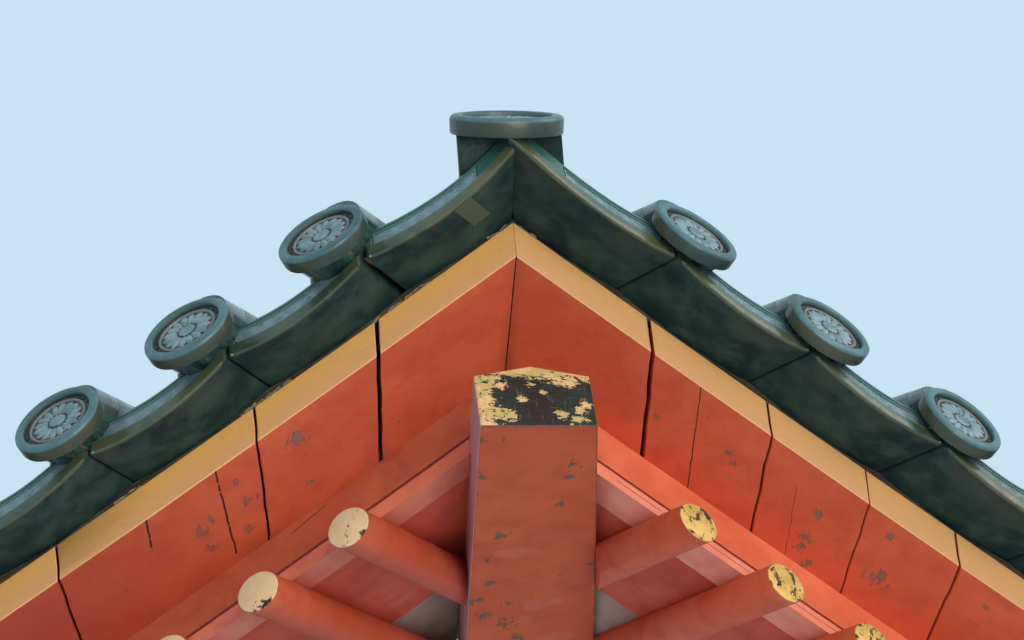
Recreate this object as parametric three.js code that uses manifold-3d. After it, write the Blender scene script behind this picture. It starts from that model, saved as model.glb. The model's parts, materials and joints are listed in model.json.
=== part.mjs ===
// Eave corner of a six-sided pagoda roof, in millimetres, +Z up.
// The hip runs along +Y and the tip of the corner points to -Y. The wings mirror across X = 0
// in all but a few things, as an old hand-built corner does: the hip rafter, the end of the hip
// cover, the right rafters and the joints of the right boards stand a few degrees out, and the
// left beam and soffit lie further in, and the left round ends further out, than on the right.
// A point of the right wing is given by t, its distance along the eave from the corner, by u,
// its distance in from the top arris of the eave boards, and by its height over that arris.
import * as THREE from 'three';
import { mergeVertices } from 'three/addons/utils/BufferGeometryUtils.js';
import Module from 'manifold-3d';

const wasm = await Module();
wasm.setup();

// Plan and eave line
const HALF_CORNER = THREE.MathUtils.degToRad(60);
const BAY = 300;
const FIRST_JOINT = 240;
const BAYS = 6;
const WING_END = FIRST_JOINT + (BAYS - 1) * BAY;
const INNER_EDGE = 1070;
const EAVE_DROP = 0.3615;
const EAVE_LIFT = 1.86e-5;
const LEVELLING_FROM = 1250;
const LEVELLING = 6e-5;
const STATION_STEP = 100;
const STATIONS_FROM = -300;
const TILES_FROM = -200;
const GAP = 0.3;
const REACH = 6000;

// Eave boards, laid fan-wise over the eave beam
const BOARD_HEIGHT = 76;
const BOARD_LEAN = 17;
const BOARD_RISE = 0.227;
const BOARD_TAIL = 305;
const BOARD_JOINTS = [305, 575, 800, 1010, 1264, 1490];
const BOARD_GAPS = [9, 5, 3, 5, 4, 4];
const FAN_FADE = 2100;
const FAN_EXTRA = { right: 0.10, left: 0 };
const FAN_FRONT = -100;
const FAN_BACK = 500;

// Eave beam and the board under it
const BEAM_FRONT = { right: 248, left: 270 };
const BEAM_DEPTH = 85;
const BEAM_FROM_HIP = 20;
const EDGE_BOARD_HEIGHT = 45;

// Rafters and the soffit that lies on them
const RAFTER_DIAMETER = 85;
const RAFTER_SPACING = 196;
const FIRST_RAFTER = 467;
const RAFTER_COUNT = 7;
const RAFTER_TIP = 142;
const RAFTER_SLOPE = 0.65;
const RAFTER_TIP_AXIS = -305;
const RAFTER_SIDES = 20;
const RAFTER_FAN = { right: 0.11, left: 0 };
const SOFFIT_THICKNESS = 18;
const PLASTER_FROM = { right: 592, left: 748 };

// Hip rafter
const HIP_TIP = 125;
const HIP_TIP_SKEW = THREE.MathUtils.degToRad(4);
const HIP_RUN_OUT = 50;
const HIP_TAIL = 1240;
const HIP_SLOPE = 0.38;
const HIP_HALF_WIDTH_TIP = 110;
const HIP_HALF_WIDTH_TAIL = 138.5;
const HIP_SHOULDER_TIP = -310;
const HIP_SIDE_HEIGHT = 141;
const HIP_PEAK = 29;
const HIP_TURN = THREE.MathUtils.degToRad(5.5);

// Tiles
const TILE_SLOPE = 0.65;
const TILE_SEAT = 10;
const LIP_FRONT = -178;
const PAN_SAG = 38;
const PAN_THICKNESS = 82;
const PAN_SAMPLES = 12;
const CORNER_FLARE = 45;
const COVER_OFFSET = 41;
const COVER_RADIUS = 76;
const COVER_LEG = 72;
const COVER_SIDES = 16;
const COVER_AXIS = 142;
const DISC_AT = { right: -218, left: -265 };
const DISC_RADIUS = 89;
const DISC_THICKNESS = 32;
const DISC_SIDES = 36;
const DISC_TILT = 0.16;
const DISC_TILT_FADE = 0.15e-3;
const RIM_RATIO = 0.8;
const RECESS = 9;
const RIM_BEVEL = 3;
const RECESS_BEVEL = 2;

// Batten under the lips of the tiles, and the roof bed behind it
const BATTEN_FRONT = 2;
const BATTEN_BACK = 62;
const BED_HAUNCH = 63;

// Hip cover with its end disc
const END_DISC = { y: -205, z: 70, radius: 109, tilt: 0.56, thickness: 38 };
const HIP_COVER_RADIUS = 100;
const HIP_COVER_LEG = 95;
const HIP_AXIS_HEIGHT = 115;
const HIP_COVER_SLOPE = 0.382;
const HIP_COVER_TAIL = 1228;
const HIP_NECK = 98;
const HIP_BEND_GUIDE = 50;
const HIP_BEND_STEPS = 5;
const HIP_SETTLES_AT = 60;

const sinA = Math.sin(HALF_CORNER);
const cosA = Math.cos(HALF_CORNER);
const tanA = Math.tan(HALF_CORNER);

const eaveHeight = (t) =>
  -EAVE_DROP * t + EAVE_LIFT * t * t + (t > LEVELLING_FROM ? LEVELLING * (t - LEVELLING_FROM) ** 2 : 0);

const stations = [];
for (let t = STATIONS_FROM; t < WING_END; t += STATION_STEP) stations.push(t);
stations.push(WING_END);

// Height of the arris, straight from one station to the next, so that stacked members share faces
function arris(t) {
  let k = 0;
  while (k < stations.length - 2 && t > stations[k + 1]) k += 1;
  const share = (t - stations[k]) / (stations[k + 1] - stations[k]);
  return eaveHeight(stations[k]) * (1 - share) + eaveHeight(stations[k + 1]) * share;
}

const plan = (t, u) => [t * sinA - u * cosA, t * cosA + u * sinA];
const place = (t, u, z) => [...plan(t, u), z + arris(t)];
const mitreAt = (u) => u / tanA;
const rafterTop = (u) =>
  RAFTER_TIP_AXIS + (RAFTER_DIAMETER / 2) * Math.hypot(1, RAFTER_SLOPE) + RAFTER_SLOPE * (u - RAFTER_TIP);
const boardBottom = (u) => -BOARD_HEIGHT + BOARD_RISE * (u - BOARD_LEAN);
const tileSeat = (u) => TILE_SEAT + TILE_SLOPE * u;

function geometryFrom(points, triangles) {
  const geometry = new THREE.BufferGeometry();
  geometry.setAttribute('position', new THREE.Float32BufferAttribute(points.flat(), 3));
  geometry.setIndex(triangles.flat());
  return geometry;
}

function stripped(geometry) {
  geometry.deleteAttribute('normal');
  geometry.deleteAttribute('uv');
  return geometry;
}

function solid(geometry) {
  const merged = mergeVertices(stripped(geometry.clone()), 1e-4);
  return new wasm.Manifold(new wasm.Mesh({
    numProp: 3,
    vertProperties: new Float32Array(merged.attributes.position.array),
    triVerts: new Uint32Array(merged.index.array),
  }));
}

function geometryOf(body) {
  const mesh = body.getMesh();
  const geometry = new THREE.BufferGeometry();
  geometry.setAttribute('position', new THREE.BufferAttribute(new Float32Array(mesh.vertProperties), 3));
  geometry.setIndex(new THREE.BufferAttribute(new Uint32Array(mesh.triVerts), 1));
  return geometry;
}

// Closed skin over rows of points, all rows alike and counter-clockwise seen against the sweep
function skin(rows) {
  const count = rows[0].length;
  const triangles = [];
  for (let r = 0; r < rows.length - 1; r += 1) {
    for (let i = 0; i < count; i += 1) {
      const a = r * count + i;
      const b = r * count + ((i + 1) % count);
      triangles.push([a, b, b + count], [a, b + count, a + count]);
    }
  }
  const caps = THREE.ShapeUtils.triangulateShape(sectionOf(rows[0]), []);
  const last = (rows.length - 1) * count;
  for (const [a, b, c] of caps) {
    triangles.push([a, c, b], [last + a, last + b, last + c]);
  }
  return fixedOutward(geometryFrom(rows.flat(), triangles));
}

// A row of points, flattened onto its own plane for the end caps
function sectionOf(row) {
  const origin = new THREE.Vector3(...row[0]);
  const points = row.map((p) => new THREE.Vector3(...p).sub(origin));
  const normal = new THREE.Vector3();
  points.forEach((p, i) => normal.add(new THREE.Vector3().crossVectors(p, points[(i + 1) % points.length])));
  normal.normalize();
  const across = points.reduce((best, p) => (p.length() > best.length() ? p : best)).clone().normalize();
  const along = new THREE.Vector3().crossVectors(normal, across);
  return points.map((p) => new THREE.Vector2(p.dot(across), p.dot(along)));
}

function volumeOf(geometry) {
  const p = geometry.attributes.position;
  const index = geometry.index.array;
  const corner = [new THREE.Vector3(), new THREE.Vector3(), new THREE.Vector3()];
  let sum = 0;
  for (let i = 0; i < index.length; i += 3) {
    corner.forEach((v, k) => v.fromBufferAttribute(p, index[i + k]));
    sum += corner[0].dot(corner[1].cross(corner[2]));
  }
  return sum;
}

function turnedInsideOut(geometry) {
  const index = geometry.index.array;
  for (let i = 0; i < index.length; i += 3) [index[i], index[i + 1]] = [index[i + 1], index[i]];
  return geometry;
}

const fixedOutward = (geometry) => (volumeOf(geometry) < 0 ? turnedInsideOut(geometry) : geometry);

function mirrored(geometry) {
  const copy = geometry.clone();
  copy.scale(-1, 1, 1);
  return turnedInsideOut(copy);
}

// A member that follows the eave, from its section in u and height
function alongEave(section) {
  return solid(skin(stations.map((t) => section.map(([u, z]) => place(t, u, z)))));
}

// The right-hand side of the hip plane, from x on
function rightOf(x) {
  const half = new THREE.BoxGeometry(REACH, 2 * REACH, 2 * REACH);
  half.translate(x + REACH / 2, 0, 0);
  return solid(half);
}

// All that lies between the hip rafter's end face, sawn a little askew, and the cut at its inner end
function betweenHipEnds() {
  const front = new THREE.BoxGeometry(2 * REACH, 2 * REACH, 2 * REACH);
  const behind = front.clone();
  front.translate(0, HIP_TAIL - REACH, 0);
  behind.translate(0, REACH, 0);
  behind.rotateZ(HIP_TIP_SKEW);
  behind.translate(HIP_TIP * Math.sin(HIP_TURN), HIP_TIP, 0);
  return solid(front).intersect(solid(behind));
}

// A vertical prism over a plan outline given in t and u
function planPrism(outline) {
  const shape = new THREE.Shape(outline.map(([t, u]) => new THREE.Vector2(...plan(t, u))));
  const prism = new THREE.ExtrudeGeometry(shape, { depth: 2 * REACH, bevelEnabled: false });
  prism.translate(0, 0, -REACH);
  return solid(prism);
}

const materials = {
  vermilion: new THREE.MeshStandardMaterial({ color: 0xb24e37, roughness: 0.75, metalness: 0 }),
  pink: new THREE.MeshStandardMaterial({ color: 0xc96a58, roughness: 0.75, metalness: 0 }),
  boards: new THREE.MeshStandardMaterial({ color: 0xc4553c, roughness: 0.8, metalness: 0 }),
  darkRed: new THREE.MeshStandardMaterial({ color: 0x732d23, roughness: 0.85, metalness: 0 }),
  plaster: new THREE.MeshStandardMaterial({ color: 0xb9b2aa, roughness: 0.9, metalness: 0 }),
  earth: new THREE.MeshStandardMaterial({ color: 0x7c6a55, roughness: 0.95, metalness: 0 }),
  glaze: new THREE.MeshStandardMaterial({ color: 0x4f7468, roughness: 0.35, metalness: 0 }),
};

// The origin is the middle of the side height at the hip rafter's inner end
const hipLength = HIP_TAIL / Math.cos(HIP_TURN);
const tailMiddle = HIP_SHOULDER_TIP + HIP_SLOPE * (hipLength - HIP_TIP) - HIP_SIDE_HEIGHT / 2;
const group = new THREE.Group();
group.position.set(-HIP_TAIL * Math.tan(HIP_TURN), -HIP_TAIL, -tailMiddle);

function addMesh(name, geometry, material) {
  const mesh = new THREE.Mesh(geometry, material);
  mesh.name = name;
  group.add(mesh);
}

// Adds a member of each wing, made as if on the right and fitted to what it meets where it lies
function addPair(name, bodyOf, material, suffix = '', fitted = (member) => member, from = GAP / 2) {
  const right = bodyOf('right').intersect(rightOf(from));
  const left = solid(mirrored(geometryOf(bodyOf('left').intersect(rightOf(from)))));
  addMesh(`${name}_right${suffix}`, geometryOf(fitted(right)), material);
  addMesh(`${name}_left${suffix}`, geometryOf(fitted(left)), material);
}

// Hip rafter: a wide beam with a peaked top, narrower at its tip
function hipRafterBody(tail, grow = 0, extraHeight = 0) {
  const widening = (HIP_HALF_WIDTH_TAIL - HIP_HALF_WIDTH_TIP) / (HIP_TAIL - HIP_TIP);
  const row = (y) => {
    const half = HIP_HALF_WIDTH_TIP + widening * (y - HIP_TIP) + grow;
    const bottom = HIP_SHOULDER_TIP - HIP_SIDE_HEIGHT + HIP_SLOPE * (y - HIP_TIP) - extraHeight;
    const crown = bottom + HIP_SIDE_HEIGHT + HIP_PEAK + grow + 2 * extraHeight;
    const shoulder = crown - (HIP_PEAK / HIP_HALF_WIDTH_TIP) * half;
    return [[-half, y, bottom], [half, y, bottom], [half, y, shoulder], [0, y, crown], [-half, y, shoulder]];
  };
  const geometry = skin([row(HIP_TIP - HIP_RUN_OUT), row(tail)]);
  geometry.rotateZ(-HIP_TURN);
  return solid(geometry);
}

addMesh('hip_rafter', geometryOf(hipRafterBody(REACH).intersect(betweenHipEnds())), materials.vermilion);

// The room it takes, which runs on past its inner end
const hipClearance = hipRafterBody(REACH, GAP);
const hipSides = hipRafterBody(REACH, GAP, REACH);

const overHip = (member) => member.subtract(hipClearance);
const besideHip = (member) => member.subtract(hipSides);

// Round rafters with upright end cuts; those of the right run off square as far as the wing allows
function rafterBody(t, side, grow = 0) {
  const radius = RAFTER_DIAMETER / 2 + grow;
  const lean = Math.hypot(1, RAFTER_SLOPE);
  const room = (WING_END - RAFTER_DIAMETER / 2 - t) / (INNER_EDGE - RAFTER_TIP);
  const ring = (u) => {
    const middle = t + Math.min(RAFTER_FAN[side], room) * (u - RAFTER_TIP);
    const drop = arris(middle);
    const row = [];
    for (let k = 0; k < RAFTER_SIDES; k += 1) {
      const angle = (k / RAFTER_SIDES) * 2 * Math.PI + Math.PI / 2;
      const aside = middle + radius * Math.cos(angle);
      const height = RAFTER_TIP_AXIS + RAFTER_SLOPE * (u - RAFTER_TIP) + radius * lean * Math.sin(angle) + drop;
      row.push([...plan(aside, u), height]);
    }
    return row;
  };
  return solid(skin([ring(RAFTER_TIP - grow), ring(INNER_EDGE + grow)]));
}

const rafterRoom = { right: [], left: [] };
for (let k = 0; k < RAFTER_COUNT; k += 1) {
  const t = FIRST_RAFTER + k * RAFTER_SPACING;
  for (const [side, room] of Object.entries(rafterRoom)) room.push(rafterBody(t, side, GAP));
  addPair('rafter', (side) => rafterBody(t, side), materials.vermilion, `_${k + 1}`, besideHip);
}
const overRafters = (body, side) => rafterRoom[side].reduce((rest, rafter) => rest.subtract(rafter), body);

// The edge board lies on the rafters and is notched over their crowns
const beamBack = (side) => BEAM_FRONT[side] + BEAM_DEPTH;
const edgeBoard = (side) => overRafters(alongEave([
  [BEAM_FRONT[side], rafterTop(BEAM_FRONT[side])],
  [beamBack(side), rafterTop(beamBack(side))],
  [beamBack(side), rafterTop(beamBack(side)) + EDGE_BOARD_HEIGHT],
  [BEAM_FRONT[side], rafterTop(BEAM_FRONT[side]) + EDGE_BOARD_HEIGHT],
]), side);
addPair('edge_board', edgeBoard, materials.pink, '', besideHip, BEAM_FROM_HIP);

const eaveBeam = (side) => alongEave([
  [BEAM_FRONT[side], rafterTop(BEAM_FRONT[side]) + EDGE_BOARD_HEIGHT + GAP],
  [beamBack(side), rafterTop(beamBack(side)) + EDGE_BOARD_HEIGHT + GAP],
  [beamBack(side), boardBottom(beamBack(side)) - GAP],
  [BEAM_FRONT[side], boardBottom(BEAM_FRONT[side]) - GAP],
]);
addPair('eave_beam', eaveBeam, materials.vermilion, '', overHip, BEAM_FROM_HIP);

// Soffit: dark boards behind the beam, plaster panels further in
function soffitStrip(from, to) {
  return alongEave([
    [from, rafterTop(from)],
    [to, rafterTop(to)],
    [to, rafterTop(to) + SOFFIT_THICKNESS],
    [from, rafterTop(from) + SOFFIT_THICKNESS],
  ]);
}
const soffitBoards = (side) => overRafters(soffitStrip(beamBack(side) + GAP, PLASTER_FROM[side]), side);
const soffitPlaster = (side) => overRafters(soffitStrip(PLASTER_FROM[side] + GAP, INNER_EDGE), side);
addPair('soffit_boards', soffitBoards, materials.darkRed, '', besideHip);
addPair('soffit_plaster', soffitPlaster, materials.plaster, '', besideHip);

// Eave boards: a sloping layer cut into boards by joints that fan out from the hip
const boardLayer = alongEave([
  [0, 0],
  [BOARD_LEAN, boardBottom(BOARD_LEAN)],
  [BOARD_TAIL, boardBottom(BOARD_TAIL)],
  [BOARD_TAIL, BOARD_RISE * BOARD_TAIL],
]);
const fan = (t, side) => (1 - t / FAN_FADE) / tanA + FAN_EXTRA[side];
const squareLine = (t) => [FAN_FRONT, FAN_BACK].map((u) => [t, u]);
const jointLine = (k, side, edge) => [FAN_FRONT, FAN_BACK].map((u) => [
  BOARD_JOINTS[k] + edge * BOARD_GAPS[k] / 2 + u * fan(BOARD_JOINTS[k], side), u,
]);
function eaveBoard(k, side) {
  const near = k === 0 ? squareLine(2 * STATIONS_FROM) : jointLine(k - 1, side, 1);
  const far = k === BOARD_JOINTS.length ? squareLine(WING_END + STATION_STEP) : jointLine(k, side, -1);
  return boardLayer.intersect(planPrism([near[0], far[0], far[1], near[1]]));
}
for (let k = 0; k <= BOARD_JOINTS.length; k += 1) {
  addPair('eave_board', (side) => eaveBoard(k, side), materials.boards, `_${k + 1}`);
}

// Roof bed between the soffit and the tiles, behind the batten
const bedFront = BATTEN_BACK + GAP;
const boardsEnd = BOARD_TAIL + GAP;
const roofBed = (side) => {
  const beamEnd = beamBack(side) + GAP;
  return alongEave([
    [bedFront, BOARD_RISE * bedFront + GAP],
    [boardsEnd, BOARD_RISE * boardsEnd + GAP],
    [boardsEnd, boardBottom(boardsEnd)],
    [beamEnd, boardBottom(beamEnd)],
    [beamEnd, rafterTop(beamEnd) + BED_HAUNCH],
    [INNER_EDGE, rafterTop(INNER_EDGE) + SOFFIT_THICKNESS + GAP],
    [INNER_EDGE, tileSeat(INNER_EDGE) - GAP],
    [bedFront, tileSeat(bedFront) - GAP],
  ]);
};
addPair('roof_bed', roofBed, materials.earth, '', overHip);

// Tiles: hanging arcs of pan tiles, cover tiles over their joints, and a round end on each cover
function panBottom(t) {
  if (t < FIRST_JOINT) {
    const share = Math.min(1, (FIRST_JOINT - t) / (FIRST_JOINT - mitreAt(LIP_FRONT)));
    return (share < 0.5 ? PAN_SAG : CORNER_FLARE) * (2 * share - 1) ** 2;
  }
  const share = ((t - FIRST_JOINT) % BAY) / BAY;
  return PAN_SAG * (2 * share - 1) ** 2;
}

function tileStations() {
  const list = new Set(stations.filter((t) => t >= TILES_FROM));
  const cornerWidth = FIRST_JOINT - mitreAt(LIP_FRONT);
  for (let k = 0; k <= PAN_SAMPLES; k += 1) {
    const share = k / PAN_SAMPLES;
    list.add(FIRST_JOINT - share * cornerWidth);
    for (let t = FIRST_JOINT; t < WING_END; t += BAY) list.add(Math.min(WING_END, t + share * BAY));
  }
  return [...list].sort((a, b) => a - b);
}

// Tile batten along the top arris, packed up to the undersides of the pan tiles
const battenRow = (t) => [
  place(t, BATTEN_FRONT, BOARD_RISE * BATTEN_FRONT + GAP),
  place(t, BATTEN_BACK, BOARD_RISE * BATTEN_BACK + GAP),
  place(t, BATTEN_BACK, tileSeat(BATTEN_BACK) + panBottom(t) - GAP),
  place(t, BATTEN_FRONT, tileSeat(BATTEN_FRONT) + panBottom(t) - GAP),
];
const batten = solid(skin(tileStations().map(battenRow)));
addPair('tile_batten', () => batten, materials.earth);

function panField(front = LIP_FRONT, inner = INNER_EDGE, thickness = PAN_THICKNESS, lift = 0) {
  const rows = tileStations().map((t) => {
    const top = panBottom(t) + PAN_THICKNESS + lift;
    return [
      place(t, front, tileSeat(front) + top - thickness),
      place(t, inner, tileSeat(inner) + top - thickness),
      place(t, inner, tileSeat(inner) + top),
      place(t, front, tileSeat(front) + top),
    ];
  });
  return solid(skin(rows));
}

// Section of a cover tile: a half round on two legs
function horseshoe(radius, leg) {
  const section = [[-radius, -leg]];
  for (let k = 0; k <= COVER_SIDES; k += 1) {
    const angle = Math.PI * (1 - k / COVER_SIDES);
    section.push([radius * Math.cos(angle), radius * Math.sin(angle)]);
  }
  section.push([radius, -leg]);
  return section;
}

const coverAxis = (u) => COVER_AXIS + TILE_SLOPE * u;

function coverBody(t, discAt) {
  const lean = (arris(t + COVER_RADIUS) - arris(t - COVER_RADIUS)) / (2 * COVER_RADIUS);
  const section = horseshoe(COVER_RADIUS, COVER_LEG);
  const ring = (u) => {
    const axis = coverAxis(u) + arris(t);
    return section.map(([a, h]) => [...plan(t + a, u), axis + h + lean * a]);
  };
  return solid(skin([ring(discAt + DISC_THICKNESS / 2), ring(INNER_EDGE)]));
}

// A round tile end, its face toward -Y before it is turned, with a sunk centre
function discGeometry(radius, thickness) {
  const inner = radius * RIM_RATIO;
  const profile = [
    [0, RECESS], [inner, RECESS], [inner + RECESS_BEVEL, 0],
    [radius - RIM_BEVEL, 0], [radius, RIM_BEVEL], [radius, thickness], [0, thickness],
  ];
  const disc = new THREE.LatheGeometry(profile.map(([r, d]) => new THREE.Vector2(r, d)), DISC_SIDES);
  return fixedOutward(mergeVertices(stripped(disc), 1e-3));
}

function discBody(t, discAt) {
  const disc = discGeometry(DISC_RADIUS, DISC_THICKNESS);
  const tilt = DISC_TILT - DISC_TILT_FADE * (t - 600);
  disc.rotateX(-tilt);
  disc.rotateZ(Math.PI / 2 - HALF_CORNER);
  disc.translate(...place(t, discAt, coverAxis(discAt)));
  return solid(disc);
}

// Hip cover: a horseshoe section swept down the hip and swept up again at its end
function hipCoverBody() {
  const end = new THREE.Vector2(END_DISC.y, END_DISC.z);
  const back = new THREE.Vector2(Math.cos(END_DISC.tilt), -Math.sin(END_DISC.tilt));
  const onHip = (y) => new THREE.Vector2(y, HIP_AXIS_HEIGHT + HIP_COVER_SLOPE * y);
  const start = end.clone().addScaledVector(back, END_DISC.thickness / 2);
  const bend = end.clone().addScaledVector(back, HIP_NECK);
  const guide = bend.clone().addScaledVector(back, HIP_BEND_GUIDE);
  const sweep = new THREE.QuadraticBezierCurve(bend, guide, onHip(HIP_SETTLES_AT));
  const path = [start, ...sweep.getPoints(HIP_BEND_STEPS), onHip(HIP_COVER_TAIL)];
  const section = horseshoe(HIP_COVER_RADIUS, HIP_COVER_LEG);
  const rows = path.map((p, i) => {
    const before = path[Math.max(0, i - 1)];
    const after = path[Math.min(path.length - 1, i + 1)];
    const along = after.clone().sub(before).normalize();
    const up = new THREE.Vector2(-along.y, along.x);
    return section.map(([x, h]) => [x, p.x + up.x * h, p.y + up.y * h]);
  });
  const disc = discGeometry(END_DISC.radius, END_DISC.thickness);
  disc.rotateX(-END_DISC.tilt);
  disc.translate(0, END_DISC.y, END_DISC.z);
  return solid(swung(skin(rows))).add(solid(swung(disc)));
}

// What overhangs the corner swings with the hip rafter
function swung(geometry) {
  const p = geometry.attributes.position;
  for (let i = 0; i < p.count; i += 1) p.setX(i, p.getX(i) + Math.min(0, p.getY(i)) * Math.tan(HIP_TURN));
  return geometry;
}

function tileField(side) {
  const discAt = DISC_AT[side];
  let field = panField();
  for (let k = 0; k < BAYS - 1; k += 1) {
    const t = FIRST_JOINT + COVER_OFFSET + k * BAY;
    field = field.add(coverBody(t, discAt).intersect(rightOf(HIP_COVER_RADIUS + GAP))).add(discBody(t, discAt));
  }
  return field.subtract(roofBed(side).translate([0, 0, GAP]));
}
addPair('eave_tiles', tileField, materials.glaze);

const underCover = panField(LIP_FRONT - GAP, REACH, REACH, GAP).intersect(rightOf(-GAP));
const hipCover = hipCoverBody().subtract(underCover).subtract(solid(mirrored(geometryOf(underCover))));
addMesh('hip_cover', geometryOf(hipCover), materials.glaze);

export default group;
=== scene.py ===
"""Eave corner of a six-sided pagoda roof: painted timbers, glazed tiles with lotus ends, and their wear."""

import json
import math
import random
from contextlib import contextmanager

import bmesh
import bpy
from mathutils import Matrix, Vector, noise

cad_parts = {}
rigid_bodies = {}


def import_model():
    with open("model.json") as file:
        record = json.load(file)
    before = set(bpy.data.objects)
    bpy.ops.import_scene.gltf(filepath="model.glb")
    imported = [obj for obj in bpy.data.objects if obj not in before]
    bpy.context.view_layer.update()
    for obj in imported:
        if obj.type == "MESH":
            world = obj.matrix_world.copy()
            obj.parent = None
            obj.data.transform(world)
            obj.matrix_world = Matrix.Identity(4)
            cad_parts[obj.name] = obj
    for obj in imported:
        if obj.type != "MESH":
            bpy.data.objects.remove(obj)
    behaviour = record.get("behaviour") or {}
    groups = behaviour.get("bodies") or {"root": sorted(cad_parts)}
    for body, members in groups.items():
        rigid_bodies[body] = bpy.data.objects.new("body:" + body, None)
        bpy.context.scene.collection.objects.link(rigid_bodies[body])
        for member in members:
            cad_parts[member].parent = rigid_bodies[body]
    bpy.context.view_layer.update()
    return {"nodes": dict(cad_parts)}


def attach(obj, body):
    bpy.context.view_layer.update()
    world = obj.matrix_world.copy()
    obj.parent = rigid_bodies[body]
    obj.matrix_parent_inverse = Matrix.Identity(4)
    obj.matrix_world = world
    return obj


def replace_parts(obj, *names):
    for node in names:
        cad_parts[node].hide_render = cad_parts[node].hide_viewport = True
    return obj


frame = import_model()

# Plan and eave line, in metres, as the solids have them
CORNER = Vector((-0.119398, -1.24, -0.045379))
HALF_CORNER = math.radians(60)
SIN, COS = math.sin(HALF_CORNER), math.cos(HALF_CORNER)
BAY = 0.300
FIRST_JOINT = 0.240
BAYS = 6
WING_END = FIRST_JOINT + (BAYS - 1) * BAY
INNER_EDGE = 1.070
EAVE_DROP = 0.3615
EAVE_LIFT = 0.0186
LEVELLING_FROM = 1.250
LEVELLING = 0.060
STATION_STEP = 0.100
STATIONS_FROM = -0.300

# The two wings, and the way that each runs along X
SIDES = {"right": 1, "left": -1}

# Boards, rafters and the hip rafter
BOARD_LEAN = 0.017
BOARD_HEIGHT = 0.076
BOARD_RISE = 0.227
BOARD_TAIL = 0.305
BOARD_COUNT = 7
BEAM_FRONT = {"right": 0.248, "left": 0.270}
EDGE_BOARD_HEIGHT = 0.045
RAFTER_DIAMETER = 0.085
RAFTER_SPACING = 0.196
FIRST_RAFTER = 0.467
RAFTER_COUNT = 7
RAFTER_TIP = 0.142
RAFTER_SLOPE = 0.65
RAFTER_TIP_AXIS = -0.305
RAFTER_FAN = {"right": 0.11, "left": 0.0}
HIP_TIP = 0.125
HIP_TIP_SKEW = math.radians(4)
HIP_TAIL = 1.240
HIP_HALF_WIDTH_TIP = 0.110
HIP_HALF_WIDTH_TAIL = 0.1385
HIP_FACE_MIDDLE = -0.366
HIP_TURN = math.radians(5.5)
HIP_EDGE = 0.004
GAP = 0.0003

# How near a point counts as on a plane, and as the same point
NEAR = 1e-4
MERGE = 1e-5

# Where paint has come off: along the eave, inward, radius; on the hip rafter across, along, radius
BARE_ON_BOARDS = {
    "left": ((0.526, 0.073, 0.025), (0.541, 0.124, 0.011), (0.560, 0.198, 0.009), (0.664, 0.138, 0.017),
             (0.657, 0.080, 0.015), (0.697, 0.208, 0.019), (0.741, 0.121, 0.017), (0.772, 0.133, 0.021),
             (0.773, 0.192, 0.017), (0.946, 0.151, 0.011)),
    "right": ((0.417, 0.142, 0.009), (0.556, 0.114, 0.009), (0.583, 0.129, 0.011), (0.760, 0.112, 0.019),
              (0.777, 0.179, 0.021), (0.784, 0.210, 0.021), (0.825, 0.234, 0.017), (0.884, 0.057, 0.011),
              (0.936, 0.155, 0.027), (1.115, 0.066, 0.010)),
}
BARE_ON_HIP = (
    (-0.070, 0.543, 0.023), (-0.084, 0.639, 0.023), (-0.087, 0.731, 0.017), (-0.113, 0.803, 0.024),
    (-0.096, 0.872, 0.024), (-0.044, 0.833, 0.017), (-0.047, 0.912, 0.026), (-0.027, 0.978, 0.019),
    (0.045, 0.435, 0.014), (0.066, 0.287, 0.018), (0.062, 0.332, 0.010), (-0.068, 0.170, 0.010),
    (-0.108, 0.164, 0.014), (-0.110, 0.303, 0.014), (0.053, 0.727, 0.010), (0.112, 0.691, 0.010),
)
# Paint left on the hip rafter's end: across, up from its middle, radius
LEFT_ON_END = (
    (-0.078, 0.034, 0.019), (-0.062, 0.026, 0.011), (0.045, 0.048, 0.016), (0.071, 0.043, 0.015),
    (0.039, 0.062, 0.014), (0.073, 0.064, 0.018), (-0.070, -0.057, 0.018), (-0.052, -0.061, 0.014),
    (-0.004, 0.034, 0.008), (0.017, 0.008, 0.006), (-0.025, -0.013, 0.009), (0.048, -0.053, 0.011),
    (0.074, -0.067, 0.013), (0.095, -0.022, 0.011), (0.082, -0.042, 0.011),
)
# Cracks in the boards' undersides: from along and inward, to along and inward, width
CRACKS = {
    "left": ((0.674, 0.017, 0.751, 0.250, 0.0022), (0.822, 0.010, 0.859, 0.105, 0.0022)),
    "right": ((0.423, 0.017, 0.559, 0.250, 0.0012), (0.693, 0.089, 0.784, 0.249, 0.0005)),
}
# Long cracks in the faces of beam and edge board: from along and up, to along and up, width
BEAM_CRACKS = {
    "left": (0.568, -0.033, 0.645, -0.045, 0.0014),
    "right": (0.380, -0.163, 1.120, -0.163, 0.0011),
}

# Tiles
TILE_SLOPE = 0.65
TILE_SEAT = 0.010
LIP_FRONT = -0.178
LIP_HEIGHT = 0.082
PAN_SAG = 0.038
CORNER_FLARE = {"right": 0.033, "left": 0.057}
PAN_JOINT = 0.003
WIDE_JOINT = 0.013
COVER_OFFSET = 0.041
COVER_RADIUS = 0.076
COVER_AXIS = 0.142
END_AT = {"right": -0.218, "left": -0.265}
END_SHIFT = {"right": (-0.011, -0.011, -0.009, 0.0, 0.0), "left": (0.010, 0.0, -0.022, 0.0, 0.0)}
END_RADIUS = 0.089
END_THICKNESS = 0.032
END_TILT = 0.16
END_TILT_FADE = 0.15
END_TILT_FROM = 0.600
COVER_COUNT = BAYS - 1
HIP_COVER_RADIUS = 0.100
HIP_END = {"y": -0.205, "z": 0.070, "radius": 0.109, "tilt": 0.56, "thickness": 0.038}
HIP_AXIS_HEIGHT = 0.115
HIP_COVER_SLOPE = 0.382
HIP_COVER_TAIL = 1.228
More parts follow.
